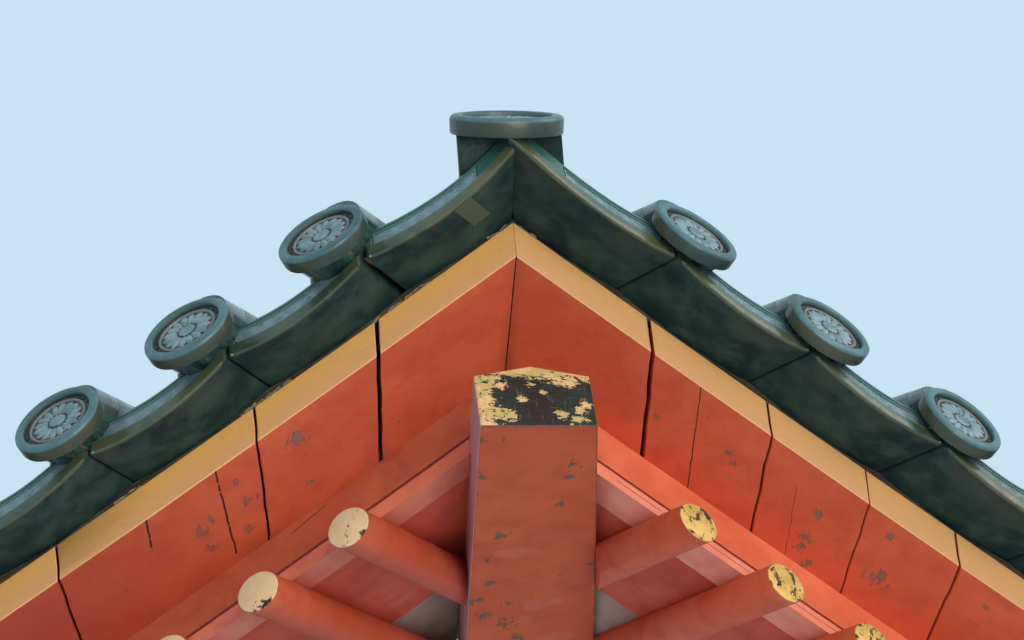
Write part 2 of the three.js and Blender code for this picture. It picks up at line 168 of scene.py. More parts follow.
OLIVE_PATCH = {"t": 0.036, "u": -0.120, "half_length": 0.018, "half_depth": 0.051}
OWN_PLACE = "own_place"

# Camera
CAMERA_PLACE = CORNER + Vector((-0.9494, -4.685, -6.0117))
CAMERA_TURN = -0.1934
CAMERA_PITCH = 0.8749
CAMERA_ROLL = -0.1572
CAMERA_LENS = 140.8
SENSOR_WIDTH = 36
FLOOR_HEIGHT = -6.8


def eave_height(t):
    """Height of the boards' top arris at a distance along the eave."""
    rise = LEVELLING * (t - LEVELLING_FROM) ** 2 if t > LEVELLING_FROM else 0
    return -EAVE_DROP * t + EAVE_LIFT * t * t + rise


def arris(t):
    """The same line, straight from station to station as the solids have it."""
    low = STATIONS_FROM + STATION_STEP * math.floor((t - STATIONS_FROM) / STATION_STEP + 1e-9)
    high = min(low + STATION_STEP, WING_END) if low < WING_END - 1e-6 else low + STATION_STEP
    share = (t - low) / (high - low)
    return eave_height(low) * (1 - share) + eave_height(high) * share


def place(t, u, z, side="right"):
    """A point of a wing, from its distances along the eave, inward and over the arris."""
    across = t * SIN - u * COS
    return CORNER + Vector((SIDES[side] * across, t * COS + u * SIN, z + arris(t)))


def paint(red, green, blue):
    """A colour as a shader holds it, from its screen values."""
    def linear(value):
        share = value / 255
        return share / 12.92 if share <= 0.04045 else ((share + 0.055) / 1.055) ** 2.4
    return (linear(red), linear(green), linear(blue), 1.0)


class Wire:
    """What flows between shader nodes; arithmetic on it adds Math nodes."""

    def __init__(self, finish, socket):
        self.finish = finish
        self.socket = socket

    def __add__(self, other):
        return self.finish.maths("ADD", self, other)

    __radd__ = __add__

    def __mul__(self, other):
        return self.finish.maths("MULTIPLY", self, other)

    __rmul__ = __mul__

    def __sub__(self, other):
        return self.finish.maths("SUBTRACT", self, other)

    def __rsub__(self, other):
        return self.finish.maths("SUBTRACT", other, self)

    def __truediv__(self, other):
        return self.finish.maths("DIVIDE", self, other)

    def __abs__(self):
        return self.finish.maths("ABSOLUTE", self)


class Finish:
    """One material: a surface shader, and short ways to add the nodes that feed it."""

    def __init__(self, name):
        self.material = bpy.data.materials.new(name)
        self.material.use_nodes = True
        self.tree = self.material.node_tree
        self.tree.nodes.clear()
        self.surface = self.tree.nodes.new("ShaderNodeBsdfPrincipled")
        output = self.tree.nodes.new("ShaderNodeOutputMaterial")
        self.tree.links.new(self.surface.outputs[0], output.inputs["Surface"])
        self.place = self.node("ShaderNodeTexCoord", output="Object")

    def node(self, kind, settings=None, sockets=None, output=0):
        """Adds a node: its settings first, then the values or links of its sockets."""
        node = self.tree.nodes.new(kind)
        for key, value in (settings or {}).items():
            setattr(node, key, value)
        self.feed(node, sockets or {})
        return Wire(self, node.outputs[output])

    def feed(self, node, sockets):
        """Sets or links sockets, named or numbered, of a node."""
        for key, value in sockets.items():
            if isinstance(value, Wire):
                self.tree.links.new(value.socket, node.inputs[key])
            else:
                node.inputs[key].default_value = value

    def maths(self, operation, *values):
        return self.node("ShaderNodeMath", {"operation": operation}, dict(enumerate(values)))

    def part(self, vector, axis):
        """One of the three numbers of a vector."""
        return self.node("ShaderNodeSeparateXYZ", None, {0: vector}, output=axis)

    def own_place(self):
        """Where a point was on the straight piece, before it was laid in the roof."""
        return self.node("ShaderNodeAttribute", {"attribute_name": OWN_PLACE}, output="Vector")

    def stretched(self, vector, x, y, z, shift=(0, 0, 0)):
        sockets = {"Vector": vector, "Scale": (x, y, z), "Location": shift}
        return self.node("ShaderNodeMapping", None, sockets)

    def noise(self, scale, detail=3.0, roughness=0.5, vector=None, distortion=0.0):
        sockets = {"Scale": scale, "Detail": detail, "Roughness": roughness, "Distortion": distortion}
        sockets["Vector"] = vector or self.place
        return self.node("ShaderNodeTexNoise", None, sockets)

    def crazing(self, scale):
        """Distance to the nearest edge between cells."""
        sockets = {"Scale": scale, "Vector": self.place}
        return self.node("ShaderNodeTexVoronoi", {"feature": "DISTANCE_TO_EDGE"}, sockets, output="Distance")

    def step(self, value, low, high):
        """Goes smoothly from 0 at low to 1 at high."""
        if low > high:
            return 1 - self.step(value, high, low)
        sockets = {"Value": value, "From Min": low, "From Max": high}
        return self.node("ShaderNodeMapRange", {"interpolation_type": "SMOOTHSTEP"}, sockets)

    def mix(self, factor, first, second):
        """Goes from the first colour to the second; either is a shader's wire or has screen values."""
        colours = [paint(*colour) if isinstance(colour, tuple) else colour for colour in (first, second)]
        settings = {"data_type": "RGBA", "clamp_factor": True}
        return self.node("ShaderNodeMix", settings, {0: factor, 6: colours[0], 7: colours[1]}, output=2)

    def over(self, colour, other, value, low, high, share=None):
        """Lays another colour over one, more and more as a value goes from low to high."""
        factor = self.step(value, low, high)
        return self.mix(factor * share if share else factor, colour, other)

    def bump(self, height, distance):
        return self.node("ShaderNodeBump", None, {"Height": height, "Distance": distance, "Strength": 1.0})

    def nearness(self, first, second, places):
        """1 at the middle of the nearest of the places, 0 at its radius, and less beyond."""
        here = self.node("ShaderNodeCombineXYZ", None, {0: first, 1: second})
        nearest = None
        for a, b, radius in places:
            ends = {0: here, 1: (a, b, 0)}
            away = self.node("ShaderNodeVectorMath", {"operation": "DISTANCE"}, ends, output=1)
            near = self.maths("MULTIPLY_ADD", away, -1 / radius, 1.0)
            nearest = self.maths("MAXIMUM", nearest, near) if nearest else near
        return nearest

    def on_side(self, side):
        """1 on one wing and 0 on the other."""
        x = self.part(self.place, 0)
        return self.maths("GREATER_THAN" if side == "right" else "LESS_THAN", x, CORNER.x)

    def on_hip(self):
        """Distances across the hip rafter, along it from the corner, and behind its askew end face."""
        x = self.part(self.place, 0) - CORNER.x
        y = self.part(self.place, 1) - CORNER.y
        across = x * math.cos(HIP_TURN) - y * math.sin(HIP_TURN)
        behind_face = y - HIP_TIP - (x - HIP_TIP * math.sin(HIP_TURN)) * math.tan(HIP_TIP_SKEW)
        return across, y * math.cos(HIP_TURN) + x * math.sin(HIP_TURN), behind_face

    def wing(self):
        """Distance along the eave, inward, and over the arris, of a point on either wing."""
        x = abs(self.part(self.place, 0) - CORNER.x)
        y = self.part(self.place, 1) - CORNER.y
        t = x * SIN + y * COS
        u = y * SIN - x * COS
        past = self.maths("MAXIMUM", t - LEVELLING_FROM, 0.0)
        height = t * t * EAVE_LIFT - t * EAVE_DROP + past * past * LEVELLING
        z = self.part(self.place, 2) - CORNER.z - height
        return t, u, z

    def done(self, colour, roughness, normal=None, **uniform):
        """Feeds the surface shader and returns the material."""
        sockets = {"Base Color": colour, "Roughness": roughness}
        if normal:
            sockets["Normal"] = normal
        self.feed(self.surface, sockets)
        self.feed(self.surface, {key.replace("_", " "): value for key, value in uniform.items()})
        return self.material


BARE_WOOD = ((80, 72, 56), (112, 102, 82))
BARE_BOARD = ((116, 80, 66), (146, 108, 92))


def weathered_paint(finish, base, faded, deep, seed):
    """Old matt paint: cloudy fading, brush marks, fine grain and dark specks; colour and height."""
    moved = finish.stretched(finish.place, 1, 1, 1, (seed * 1.7, seed * 0.9, seed * 2.3))
    clouds = finish.noise(3.4, 5, 0.62, moved, 0.4)
    patches = finish.noise(15, 4, 0.6, moved)
    grain = finish.noise(150, 3, 0.6, moved)
    specks = finish.step(finish.noise(88, 2, 0.7, moved), 0.71, 0.76)
    colour = finish.over(base, faded, clouds, 0.36, 0.66)
    colour = finish.over(colour, deep, patches, 0.42, 0.70, 0.45)
    colour = finish.mix(specks * 0.55, colour, (78, 44, 34))
    return colour, patches * 0.5 + grain * 0.25


def bare_patches(finish, near, seed):
    """Ragged patches round given places, with a raised lip of curling paint."""
    ragged = finish.noise(56, 6, 0.70, finish.stretched(finish.place, 1.2, 0.5, 1, (seed, seed, 0)), 0.4)
    value = near * 0.8 + (ragged - 0.5) * 4.2
    bare = finish.step(value, 0.46, 0.54) * finish.step(near, -0.6, -0.2)
    lip = finish.step(value, 0.20, 0.46) * finish.step(near, -0.6, -0.2) - bare
    return bare, finish.maths("MAXIMUM", lip, 0.0)


def chips(finish, seed, low=0.735):
    """Small chips scattered over a painted face."""
    moved = finish.stretched(finish.place, 1, 1, 1, (seed * 3.1, 0, seed))
    return finish.step(finish.noise(26, 6, 0.7, moved, 0.3), low, low + 0.012)


def bared(finish, colour, height, bare, lip, tones=BARE_WOOD):
    """Shows grey wood where the paint is gone, and a painted highlight where its edge curls."""
    wood = finish.mix(finish.noise(46, 4, 0.65), tones[0], tones[1])
    colour = finish.mix(bare, colour, wood)
    # Painted highlight: the curled lip of paint is mixed lighter.
    colour = finish.mix(lip * 0.35, colour, (232, 128, 98))
    return colour, height - bare * 0.9 + lip * 0.5


def yellow_paint(finish, seed):
    moved = finish.stretched(finish.place, 1, 1, 1, (seed, seed, seed))
    tones = finish.noise(30, 4, 0.65, moved)
    colour = finish.over((198, 158, 84), (222, 178, 108), tones, 0.38, 0.64)
    return finish.over(colour, (176, 160, 78), tones, 0.60, 0.72, 0.6)


def worn_wood(finish):
    grain = finish.noise(70, 4, 0.7)
    return finish.over((44, 38, 34), (84, 82, 66), grain, 0.38, 0.64)


def rafter_finish():
    """Round rafters: vermilion, with streaked yellow ends on the right, paler and cleaner on the left."""
    finish = Finish("rafter_paint")
    t, u, z = finish.wing()
    right = finish.on_side("right")
    colour, height = weathered_paint(finish, (196, 82, 52), (208, 100, 70), (176, 66, 44), 1)
    bare = chips(finish, 2)
    colour, height = bared(finish, colour, height, bare, 0.0 * bare)
    colour = finish.mix((1 - right) * 0.45, colour, (158, 62, 40))
    streaks = finish.noise(46, 6, 0.72, finish.stretched(finish.place, 1.5, 1, 0.7), 0.5)
    low = finish.step(z, RAFTER_TIP_AXIS - 0.012, RAFTER_TIP_AXIS - 0.040)
    worn = finish.step(streaks + right * 0.07 + low * (1 - right) * 0.09, 0.620, 0.655)
    tan = finish.mix(finish.noise(30, 4, 0.6), (206, 166, 122), (224, 192, 150))
    end = finish.mix(worn, finish.mix(right, tan, yellow_paint(finish, 3)), worn_wood(finish))
    is_end = finish.step(u, RAFTER_TIP + 0.0035, RAFTER_TIP + 0.0020)
    colour = finish.mix(is_end, colour, end)
    height = height - worn * is_end * 0.8
    return finish.done(colour, 0.66, finish.bump(height, 0.0014), Specular_IOR_Level=0.18)


def hip_finish():
    """Hip rafter: flaking underside, worn edges, and an end whose yellow is rubbed through."""
    finish = Finish("hip_rafter_paint")
    across, along, behind = finish.on_hip()
    height_up = finish.part(finish.place, 2) - CORNER.z - HIP_FACE_MIDDLE
    colour, height = weathered_paint(finish, (188, 78, 44), (198, 90, 54), (170, 66, 40), 5)
    pale = finish.step(finish.noise(9, 3, 0.5), 0.62, 0.68)
    colour = finish.mix(pale * 0.2, colour, (206, 124, 98))
    bare, lip = bare_patches(finish, finish.nearness(across, along, BARE_ON_HIP), 4)
    half = HIP_HALF_WIDTH_TIP + (along - HIP_TIP) * (
        (HIP_HALF_WIDTH_TAIL - HIP_HALF_WIDTH_TIP) / (HIP_TAIL - HIP_TIP))
    rubbed = finish.step(half - abs(across) + finish.noise(60, 5, 0.7) * 0.022, 0.0135, 0.0115)
    near_tip = finish.step(behind + finish.noise(50, 5, 0.7) * 0.03, 0.024, 0.020)
    bare = finish.maths("MAXIMUM", bare, finish.maths("MAXIMUM", rubbed * 0.8, near_tip * 0.8))
    colour, height = bared(finish, colour, height, bare, lip)
    end, gone = end_face(finish, across, height_up)
    is_end = finish.step(behind, 0.0030, 0.0018)
    # Painted sheen: the left side face is tinted pale pink, as sky reflected at a grazing angle.
    left_side_sheen = finish.step(across + half, 0.0016, 0.0004)
    colour = finish.mix(left_side_sheen * 0.75, colour, (222, 160, 158))
    colour = finish.mix(is_end, colour, end)
    height = height - gone * is_end * 0.6
    return finish.done(colour, 0.70, finish.bump(height, 0.0016), Specular_IOR_Level=0.15)


def end_face(finish, across, up):
    """The rubbed end of the hip rafter: dark wood, with paint left at the rim and in places."""
    streaks = finish.noise(44, 6, 0.74, finish.stretched(finish.place, 0.8, 1, 2.4), 0.6)
    specks = finish.noise(120, 4, 0.7)
    rim = finish.maths("MAXIMUM", (-0.078 - across) * 60, (up - 0.050 + across * 0.03) * 60)
    rim = finish.maths("MINIMUM", rim, 0.62)
    kept = finish.maths("MAXIMUM", rim, finish.nearness(across, up, LEFT_ON_END) * 0.75)
    value = kept + (streaks - 0.5) * 4.6 + (specks - 0.5) * 3.4
    gone = finish.step(value, 0.16, -0.04)
    wood = finish.over((38, 50, 46), (52, 34, 30), streaks + (0.5 - abs(across) * 6) * 0.2, 0.46, 0.60)
    marks = finish.noise(46, 3, 0.6, finish.stretched(finish.place, 3.2, 1, 0.5))
    scratches = finish.noise(60, 3, 0.6, finish.stretched(finish.place, 0.35, 1, 4.5))
    brushed = finish.maths("MAXIMUM", finish.step(marks, 0.62, 0.68), finish.step(scratches, 0.66, 0.70))
    wood = finish.mix(brushed * 0.5, wood, (108, 96, 84))
    tones = finish.noise(26, 4, 0.65)
    left = finish.over((184, 156, 98), (214, 166, 116), tones, 0.44, 0.56)
    left = finish.over(left, (120, 118, 76), specks, 0.58, 0.68, 0.6)
    return finish.mix(gone, left, wood), gone


# Plain timbers and plaster: material, three tones, seed, roughness, where chips begin, side if grooved
# Beam and edge board paint come as right and left copies of one paint, toned apart for how each side is lit:
# the right ones lighter as painted light, the left ones darker as painted shade.
PLAIN_PAINT = {
    "eave_beam_right": ("beam_paint_right_lit", (216, 108, 74), (228, 124, 90), (196, 88, 62),
                        5, 0.72, 0.735, "right"),
    "eave_beam_left": ("beam_paint_left_shaded", (172, 80, 54), (188, 96, 68), (150, 62, 42),
                       5, 0.72, 0.735, "left"),
    "edge_board_right": ("edge_paint_right_lit", (236, 134, 104), (240, 150, 130), (214, 110, 86),
                         7, 0.72, 0.735, "right"),
    "edge_board_left": ("edge_paint_left_shaded", (218, 118, 92), (228, 138, 116), (194, 94, 72),
                        7, 0.72, 0.735, "left"),
    "soffit_boards_right": ("soffit_paint_right", (196, 76, 54), (208, 90, 66), (150, 54, 40),
                            9, 0.8, 0.70, None),
    # Painted light: the left soffit paint is a little lighter than the right, against the shade that falls
    # there.
    "soffit_boards_left": ("soffit_paint_left_lit", (206, 80, 56), (216, 94, 68), (160, 60, 44),
                           9, 0.8, 0.68, None),
    "soffit_plaster": ("lime_plaster", (156, 122, 106), (172, 142, 126), (126, 98, 86),
                       11, 0.9, 0.735, None),
}


def plain_finish(name, base, faded, deep, seed, roughness, low, side):
    """Weathered paint with small chips; a side adds the groove and cracks of that eave's beam."""
    finish = Finish(name)
    colour, height = weathered_paint(finish, base, faded, deep, seed)
    bare = chips(finish, seed, low)
    colour, height = bared(finish, colour, height, bare, 0.0 * bare)
    if side:
        groove, crack = beam_lines(finish, side)
        colour = finish.mix(groove, colour, (126, 48, 36))
        colour = finish.mix(crack, colour, (48, 18, 14))
        height = height - groove * 1.2 - crack * 1.5
    return finish.done(colour, roughness, finish.bump(height, 0.0013), Specular_IOR_Level=0.3)


def beam_lines(finish, side):
    """The groove between an eave's beam and edge board, and the long crack in one of them."""
    t, u, z = finish.wing()
    lift = RAFTER_DIAMETER / 2 * math.sqrt(1 + RAFTER_SLOPE ** 2)
    joint = RAFTER_TIP_AXIS + lift + RAFTER_SLOPE * (BEAM_FRONT[side] - RAFTER_TIP) + EDGE_BOARD_HEIGHT
    ragged = (finish.noise(60, 4, 0.7) - 0.5) * 0.004
    groove = finish.step(abs(z - joint + ragged), 0.0056, 0.0030)
    near_t, near_z, far_t, far_z, width = BEAM_CRACKS[side]
    away = abs(z - near_z - (t - near_t) * ((far_z - near_z) / (far_t - near_t)) + ragged * 0.6)
    crack = finish.step(away, width, width * 0.3)
    crack = crack * finish.step(t, near_t - 0.01, near_t) * finish.step(t, far_t, far_t - 0.01)
    on_front = finish.step(u, BEAM_FRONT[side] + 0.010, BEAM_FRONT[side] + 0.006)
    return groove * on_front, crack * on_front


def crack_lines(finish, t, u):
    """Thin broken cracks that wander inward over the boards."""
    wander = (finish.noise(34, 4, 0.6) - 0.5) * 0.006
    broken = finish.step(finish.noise(55, 3, 0.6), 0.36, 0.42)
    lines = None
    for side, cracks in CRACKS.items():
        for near_t, near_u, far_t, far_u, width in cracks:
            slope = (far_t - near_t) / (far_u - near_u)
            away = abs(t - near_t - (u - near_u) * slope + wander)
            line = finish.step(away, width, width * 0.4) * finish.on_side(side)
            line = line * finish.step(u, near_u - 0.003, near_u) * finish.step(u, far_u, far_u - 0.004)
            lines = finish.maths("MAXIMUM", lines, line) if lines else line
    return lines * broken


def board_finish():
    """Eave boards: vermilion undersides that crack and flake, ochre front edges."""
    finish = Finish("board_paint")
    t, u, z = finish.wing()
    colour, height = weathered_paint(finish, (194, 82, 54), (204, 94, 64), (170, 64, 46), 3)
    near = None
    for side in SIDES:
        here = finish.nearness(t, u, BARE_ON_BOARDS[side])
        here = here - (1 - finish.on_side(side)) * 9
        near = finish.maths("MAXIMUM", near, here) if near else here
    bare, lip = bare_patches(finish, near, 8)
    bare = finish.maths("MAXIMUM", bare, chips(finish, 6, 0.75))
    lines = crack_lines(finish, t, u)
    from_mitre = abs(finish.part(finish.place, 0) - CORNER.x)
    mitre = finish.step(from_mitre + finish.noise(40, 4) * 0.0024, 0.0024, 0.0012)
    colour, height = bared(finish, colour, height, bare, lip, BARE_BOARD)
    deeper = finish.step(t, 0.45, 1.30) * finish.on_side("left")
    colour = finish.mix(deeper * 0.85, colour, (154, 56, 38))
    # Darker in cloudy patches within about 22 mm of the mitre.
    dark_near_mitre = finish.step(from_mitre, 0.022, 0.002) * finish.noise(9, 4) * 0.5
    colour = finish.mix(dark_near_mitre, colour, (120, 52, 36))
    tones = finish.noise(8, 5, 0.65, finish.stretched(finish.place, 1, 1, 2.2), 0.6)
    ochre = finish.over((214, 158, 104), (220, 164, 90), z + (tones - 0.5) * 0.05, -0.062, -0.014)
    ochre = finish.over(ochre, (226, 174, 100), finish.noise(24, 5, 0.7), 0.56, 0.70, 0.4)
    ochre = finish.over(ochre, (166, 124, 80), finish.noise(60, 3, 0.7), 0.70, 0.75, 0.35)
    # Painted shade: the right wing's ochre is mixed toward a duller, darker tone, the same paint toned for
    # how that side is lit.
    ochre = finish.mix(finish.on_side("right") * 0.45, ochre, (204, 156, 112))
    bands = finish.noise(5, 5, 0.6, finish.stretched(finish.place, 0.5, 0.5, 1.6))
    hairs = finish.step(abs(bands - 0.5), 0.0030, 0.0010)
    ochre = finish.mix(hairs * 0.12, ochre, (160, 116, 76))
    front = finish.step(u + z * (BOARD_LEAN / BOARD_HEIGHT), 0.0030, 0.0020)
    colour = finish.mix(front, colour, ochre)
    dark = finish.maths("MAXIMUM", lines * (1 - front), mitre * (0.8 - front * 0.6))
    colour = finish.mix(dark, colour, (34, 20, 16))
    return finish.done(colour, 0.68, finish.bump(height - dark * 1.5 - hairs * front * 0.15, 0.0014),
                       Specular_IOR_Level=0.3)


def bed_finish():
    """Roof bed where it shows at the inner edges: rough clay with straw; painted shadow makes it near black
    toward the eave.
    """
    finish = Finish("bed_clay_and_shade")
    lumps = finish.noise(40, 5, 0.7)
    straw = finish.step(finish.noise(60, 3, 0.6, finish.stretched(finish.place, 6, 6, 0.6)), 0.62, 0.66)
    colour = finish.mix(lumps, (112, 92, 68), (158, 136, 104))
    colour = finish.mix(straw * 0.6, colour, (190, 168, 118))
    t, u, z = finish.wing()
    # Painted shadow: near black toward the eave, where the tiles shade the bed.
    colour = finish.over(colour, (20, 18, 16), u, 0.30, 0.20)
    return finish.done(colour, 0.95, finish.bump(lumps + straw * 0.3, 0.003), Specular_IOR_Level=0.2)


def batten_finish():
    """Weathered wood and crumbling mortar under the tile lips; painted shade makes it near black inward of
    its front.
    """
    finish = Finish("batten_wood_and_shade")
    own = finish.own_place()
    grain = finish.noise(30, 5, 0.65, finish.stretched(own, 0.4, 4, 4))
    colour = finish.over((54, 50, 44), (92, 82, 64), grain, 0.38, 0.62)
    edge = finish.step(abs(finish.part(own, 2) - 0.0030 + (grain - 0.5) * 0.004), 0.0016, 0.0006)
    colour = finish.mix(edge * 0.6, colour, (140, 116, 80))
    # Painted shade: near black inward of the front, under the tiles.
    colour = finish.over(colour, (22, 20, 18), finish.part(own, 1), 0.007, 0.011)
    return finish.done(colour, 0.92, finish.bump(grain, 0.002), Specular_IOR_Level=0.2)


def mortar_finish():
    finish = Finish("mortar")
    lumps = finish.noise(70, 5, 0.7)
    colour = finish.mix(lumps, (96, 90, 70), (142, 132, 104))
    return finish.done(colour, 0.95, finish.bump(lumps, 0.002), Specular_IOR_Level=0.2)


def glaze_clouds(finish, seed, vector=None, scale=1.0):
    """Broad and small mottling that every glaze here shares."""
    moved = finish.stretched(vector or finish.place, scale, scale, scale, (seed, seed * 0.6, seed * 1.4))
    broad = finish.noise(6.5, 5, 0.62, moved, 0.3)
    small = finish.noise(38, 4, 0.62, moved)
    return broad, small


def underside_finish():
    """Undersides of the hanging tiles: near black green, dulled by dust, browner toward the lip."""
    finish = Finish("pan_underside")
    t, u, z = finish.wing()
    broad, small = glaze_clouds(finish, 4)
    blots = finish.noise(13, 6, 0.6, distortion=0.2)
    colour = finish.over((18, 44, 44), (36, 62, 56), broad, 0.36, 0.62)
    colour = finish.over(colour, (58, 80, 72), blots, 0.44, 0.68, 0.6)
    colour = finish.over(colour, (16, 32, 36), blots, 0.46, 0.34, 0.5)
    brown = finish.step(u, -0.050, -0.165) * finish.step(small + (broad - 0.5) * 1.2, 0.42, 0.66)
    colour = finish.mix(brown * 0.55, colour, (64, 60, 50))
    ragged = (finish.noise(45, 4, 0.6) - 0.5) * 0.35
    away_along = abs(t - OLIVE_PATCH["t"]) / OLIVE_PATCH["half_length"]
    away_inward = abs(u - OLIVE_PATCH["u"]) / OLIVE_PATCH["half_depth"]
    patch = finish.step(finish.maths("MAXIMUM", away_along, away_inward) + ragged, 1.02, 0.96)
    colour = finish.mix(patch * finish.on_side("left") * 0.85, colour, (84, 90, 70))
    return finish.done(colour, 0.62, finish.bump(small * 0.6 + broad * 0.4, 0.0014), Specular_IOR_Level=0.12)


def pan_finish():
    """Front of the hanging tiles: olive lower lip, blue-green rim and frame, blue panel with scrolls."""
    finish = Finish("pan_glaze")
    own = finish.own_place()
    u, z = finish.part(own, 1), finish.part(own, 2)
    broad, small = glaze_clouds(finish, 4)
    lip = finish.over((38, 60, 48), (74, 78, 50), broad, 0.36, 0.60)
    lip = finish.over(lip, (60, 82, 64), small, 0.46, 0.70, 0.6)
    lip = finish.over(lip, (76, 58, 40), broad, 0.56, 0.68, 0.5)
    lip = finish.over(lip, (84, 112, 102), z, LIP_BAND - 0.004, LIP_BAND, 0.5)
    rim = finish.mix(small, (24, 66, 60), (64, 104, 96))
    panel = finish.over((84, 112, 120), (130, 156, 164), small, 0.35, 0.65)
    panel = finish.over(panel, (96, 92, 66), broad, 0.55, 0.66, 0.6)
    depth = u - LIP_FRONT - SET_BACK
    panel = finish.over(panel, (70, 88, 90), small, 0.44, 0.60, 0.5)
    on_panel = finish.step(depth, PANEL_SINK - 0.0014, PANEL_SINK - 0.0006)
    frame_line = finish.step(depth, 0.0006, 0.0010) * finish.step(depth, 0.0018, 0.0013)
    rim = finish.mix(frame_line * 0.8, rim, (112, 142, 144))
    front = finish.over(lip, rim, z, LIP_BAND + 0.0004, LIP_BAND + LIP_LEDGE)
    above = finish.step(z, LIP_BAND + LIP_LEDGE, LIP_BAND + LIP_LEDGE + 0.001)
    colour = finish.mix(on_panel * above, front, panel)
    colour = finish.over(colour, (40, 66, 62), depth, 0.007, 0.009)
    height = small * 0.6 + broad * 0.4
    return finish.done(colour, 0.30 + finish.step(small, 0.45, 0.7) * 0.25, finish.bump(height, 0.0014),
                       Coat_Weight=0.25)


def lotus_finish():
    """Round ends: matt blue-green rim, brown-green collar, pale petals with rusty grooves."""
    finish = Finish("lotus_glaze")
    own = finish.own_place()
    x, y, z = (finish.part(own, axis) for axis in range(3))
    radius = finish.maths("SQRT", x * x + z * z)
    broad, small = glaze_clouds(finish, 9)
    rim = finish.over((40, 72, 74), (66, 102, 106), broad, 0.36, 0.64)
    rim = finish.over(rim, (46, 74, 64), small, 0.52, 0.75, 0.5)
    collar = finish.over((22, 46, 38), (54, 54, 36), broad, 0.40, 0.60)
    collar = finish.over(collar, (32, 62, 56), small, 0.48, 0.70, 0.6)
    colour = finish.over(rim, collar, y, 0.0045, 0.0095)
    # Painted shade: the sunk ring darkens with depth into its recess.
    ring = finish.over((72, 98, 98), (32, 48, 44), y, 0.0040, 0.0100)
    ring = finish.mix(finish.step(small, 0.5, 0.6) * finish.step(y, 0.003, 0.009) * 0.5, ring, (66, 58, 44))
    colour = finish.over(colour, ring, radius, 0.0716, 0.0704)
    band = finish.mix(small, (92, 86, 88), (120, 120, 122))
    colour = finish.over(colour, band, radius, 0.0606, 0.0600)
    petals = finish.over((82, 108, 112), (116, 138, 144), small, 0.36, 0.64)
    grooves = finish.over((52, 62, 60), (92, 72, 58), small, 0.40, 0.62)
    inside = finish.over(petals, grooves, y, 0.0078, 0.0104)
    colour = finish.over(colour, inside, radius, 0.0548, 0.0540)
    back = finish.step(y, 0.0300, 0.0312)
    colour = finish.mix(back, colour, (40, 60, 56))
    height = small * 0.5 + broad * 0.5
    return finish.done(colour, 0.42 + finish.step(small, 0.4, 0.7) * 0.2, finish.bump(height, 0.0012),
                       Coat_Weight=0.15)


def cover_finish():
    """Cover tiles and upper courses: deep teal glaze, streaked down the slope, dulled by dirt."""
    finish = Finish("cover_glaze")
    own = finish.own_place()
    streaks = finish.noise(22, 4, 0.6, finish.stretched(own, 3.2, 0.5, 3.2))
    broad, small = glaze_clouds(finish, 12)
    colour = finish.over((22, 48, 46), (54, 86, 78), streaks, 0.36, 0.64)
    colour = finish.over(colour, (110, 126, 114), small, 0.56, 0.74, 0.40)
    colour = finish.over(colour, (92, 88, 66), broad, 0.54, 0.68, 0.45)
    rough = 0.22 + finish.step(broad, 0.45, 0.7) * 0.35
    return finish.done(colour, rough, finish.bump(small * 0.6 + streaks * 0.4, 0.0012), Coat_Weight=0.4)


def neck_finish():
    """The tile that carries the end over the corner: near black glaze, finely crazed."""
    finish = Finish("neck_glaze")
    broad, small = glaze_clouds(finish, 15)
    crazing = finish.step(finish.crazing(34), 0.030, 0.012)
    colour = finish.over((14, 34, 36), (28, 58, 56), broad, 0.4, 0.65)
    colour = finish.over(colour, (52, 44, 38), small, 0.52, 0.70, 0.5)
    colour = finish.mix(crazing * finish.step(broad, 0.50, 0.62) * 0.30, colour, (110, 104, 106))
    return finish.done(colour, 0.40 + small * 0.2, finish.bump(small, 0.001), Specular_IOR_Level=0.22)


def dress_solids():
    """Gives every solid its finish, and softens the edges of the hip rafter."""
    earth = bed_finish()
    finishes = {
        "hip_rafter": hip_finish(),
        "rafter": rafter_finish(),
        **{kind: plain_finish(*tones) for kind, tones in PLAIN_PAINT.items()},
        "eave_board": board_finish(),
        "tile_batten": earth,
        "roof_bed": earth,
        "eave_tiles": earth,
        "hip_cover": earth,
    }
    for name, solid in frame["nodes"].items():
        kind = max((key for key in finishes if name.startswith(key)), key=len)
        solid.data.materials.clear()
        solid.data.materials.append(finishes[kind])
        if kind == "hip_rafter":
            weld = solid.modifiers.new("weld", "WELD")
            weld.merge_threshold = MERGE
            bevel = solid.modifiers.new("bevel", "BEVEL")
            bevel.width = HIP_EDGE
            bevel.segments = 2
            bevel.limit_method = "ANGLE"
            bevel.angle_limit = math.radians(35)
    return finishes


def deselect():
    bpy.ops.object.select_all(action="DESELECT")


def take(*chosen):
    """Selects these objects only, with the first one active."""
    deselect()
    for piece in chosen:
        piece.select_set(True)
    bpy.context.view_layer.objects.active = chosen[0]


def start(name, add, **size):
    """Adds a primitive, alone selected, under its own name."""
    deselect()
    add(**size)
    piece = bpy.context.object
    piece.name = piece.data.name = name
    return piece


@contextmanager
def editing(piece):
    """Edit mode on one piece, with everything selected at first."""
    take(piece)
    bpy.context.tool_settings.mesh_select_mode = (True, False, False)
    bpy.ops.object.mode_set(mode="EDIT")
    bpy.ops.mesh.select_all(action="SELECT")
    yield piece
    bpy.ops.object.mode_set(mode="OBJECT")


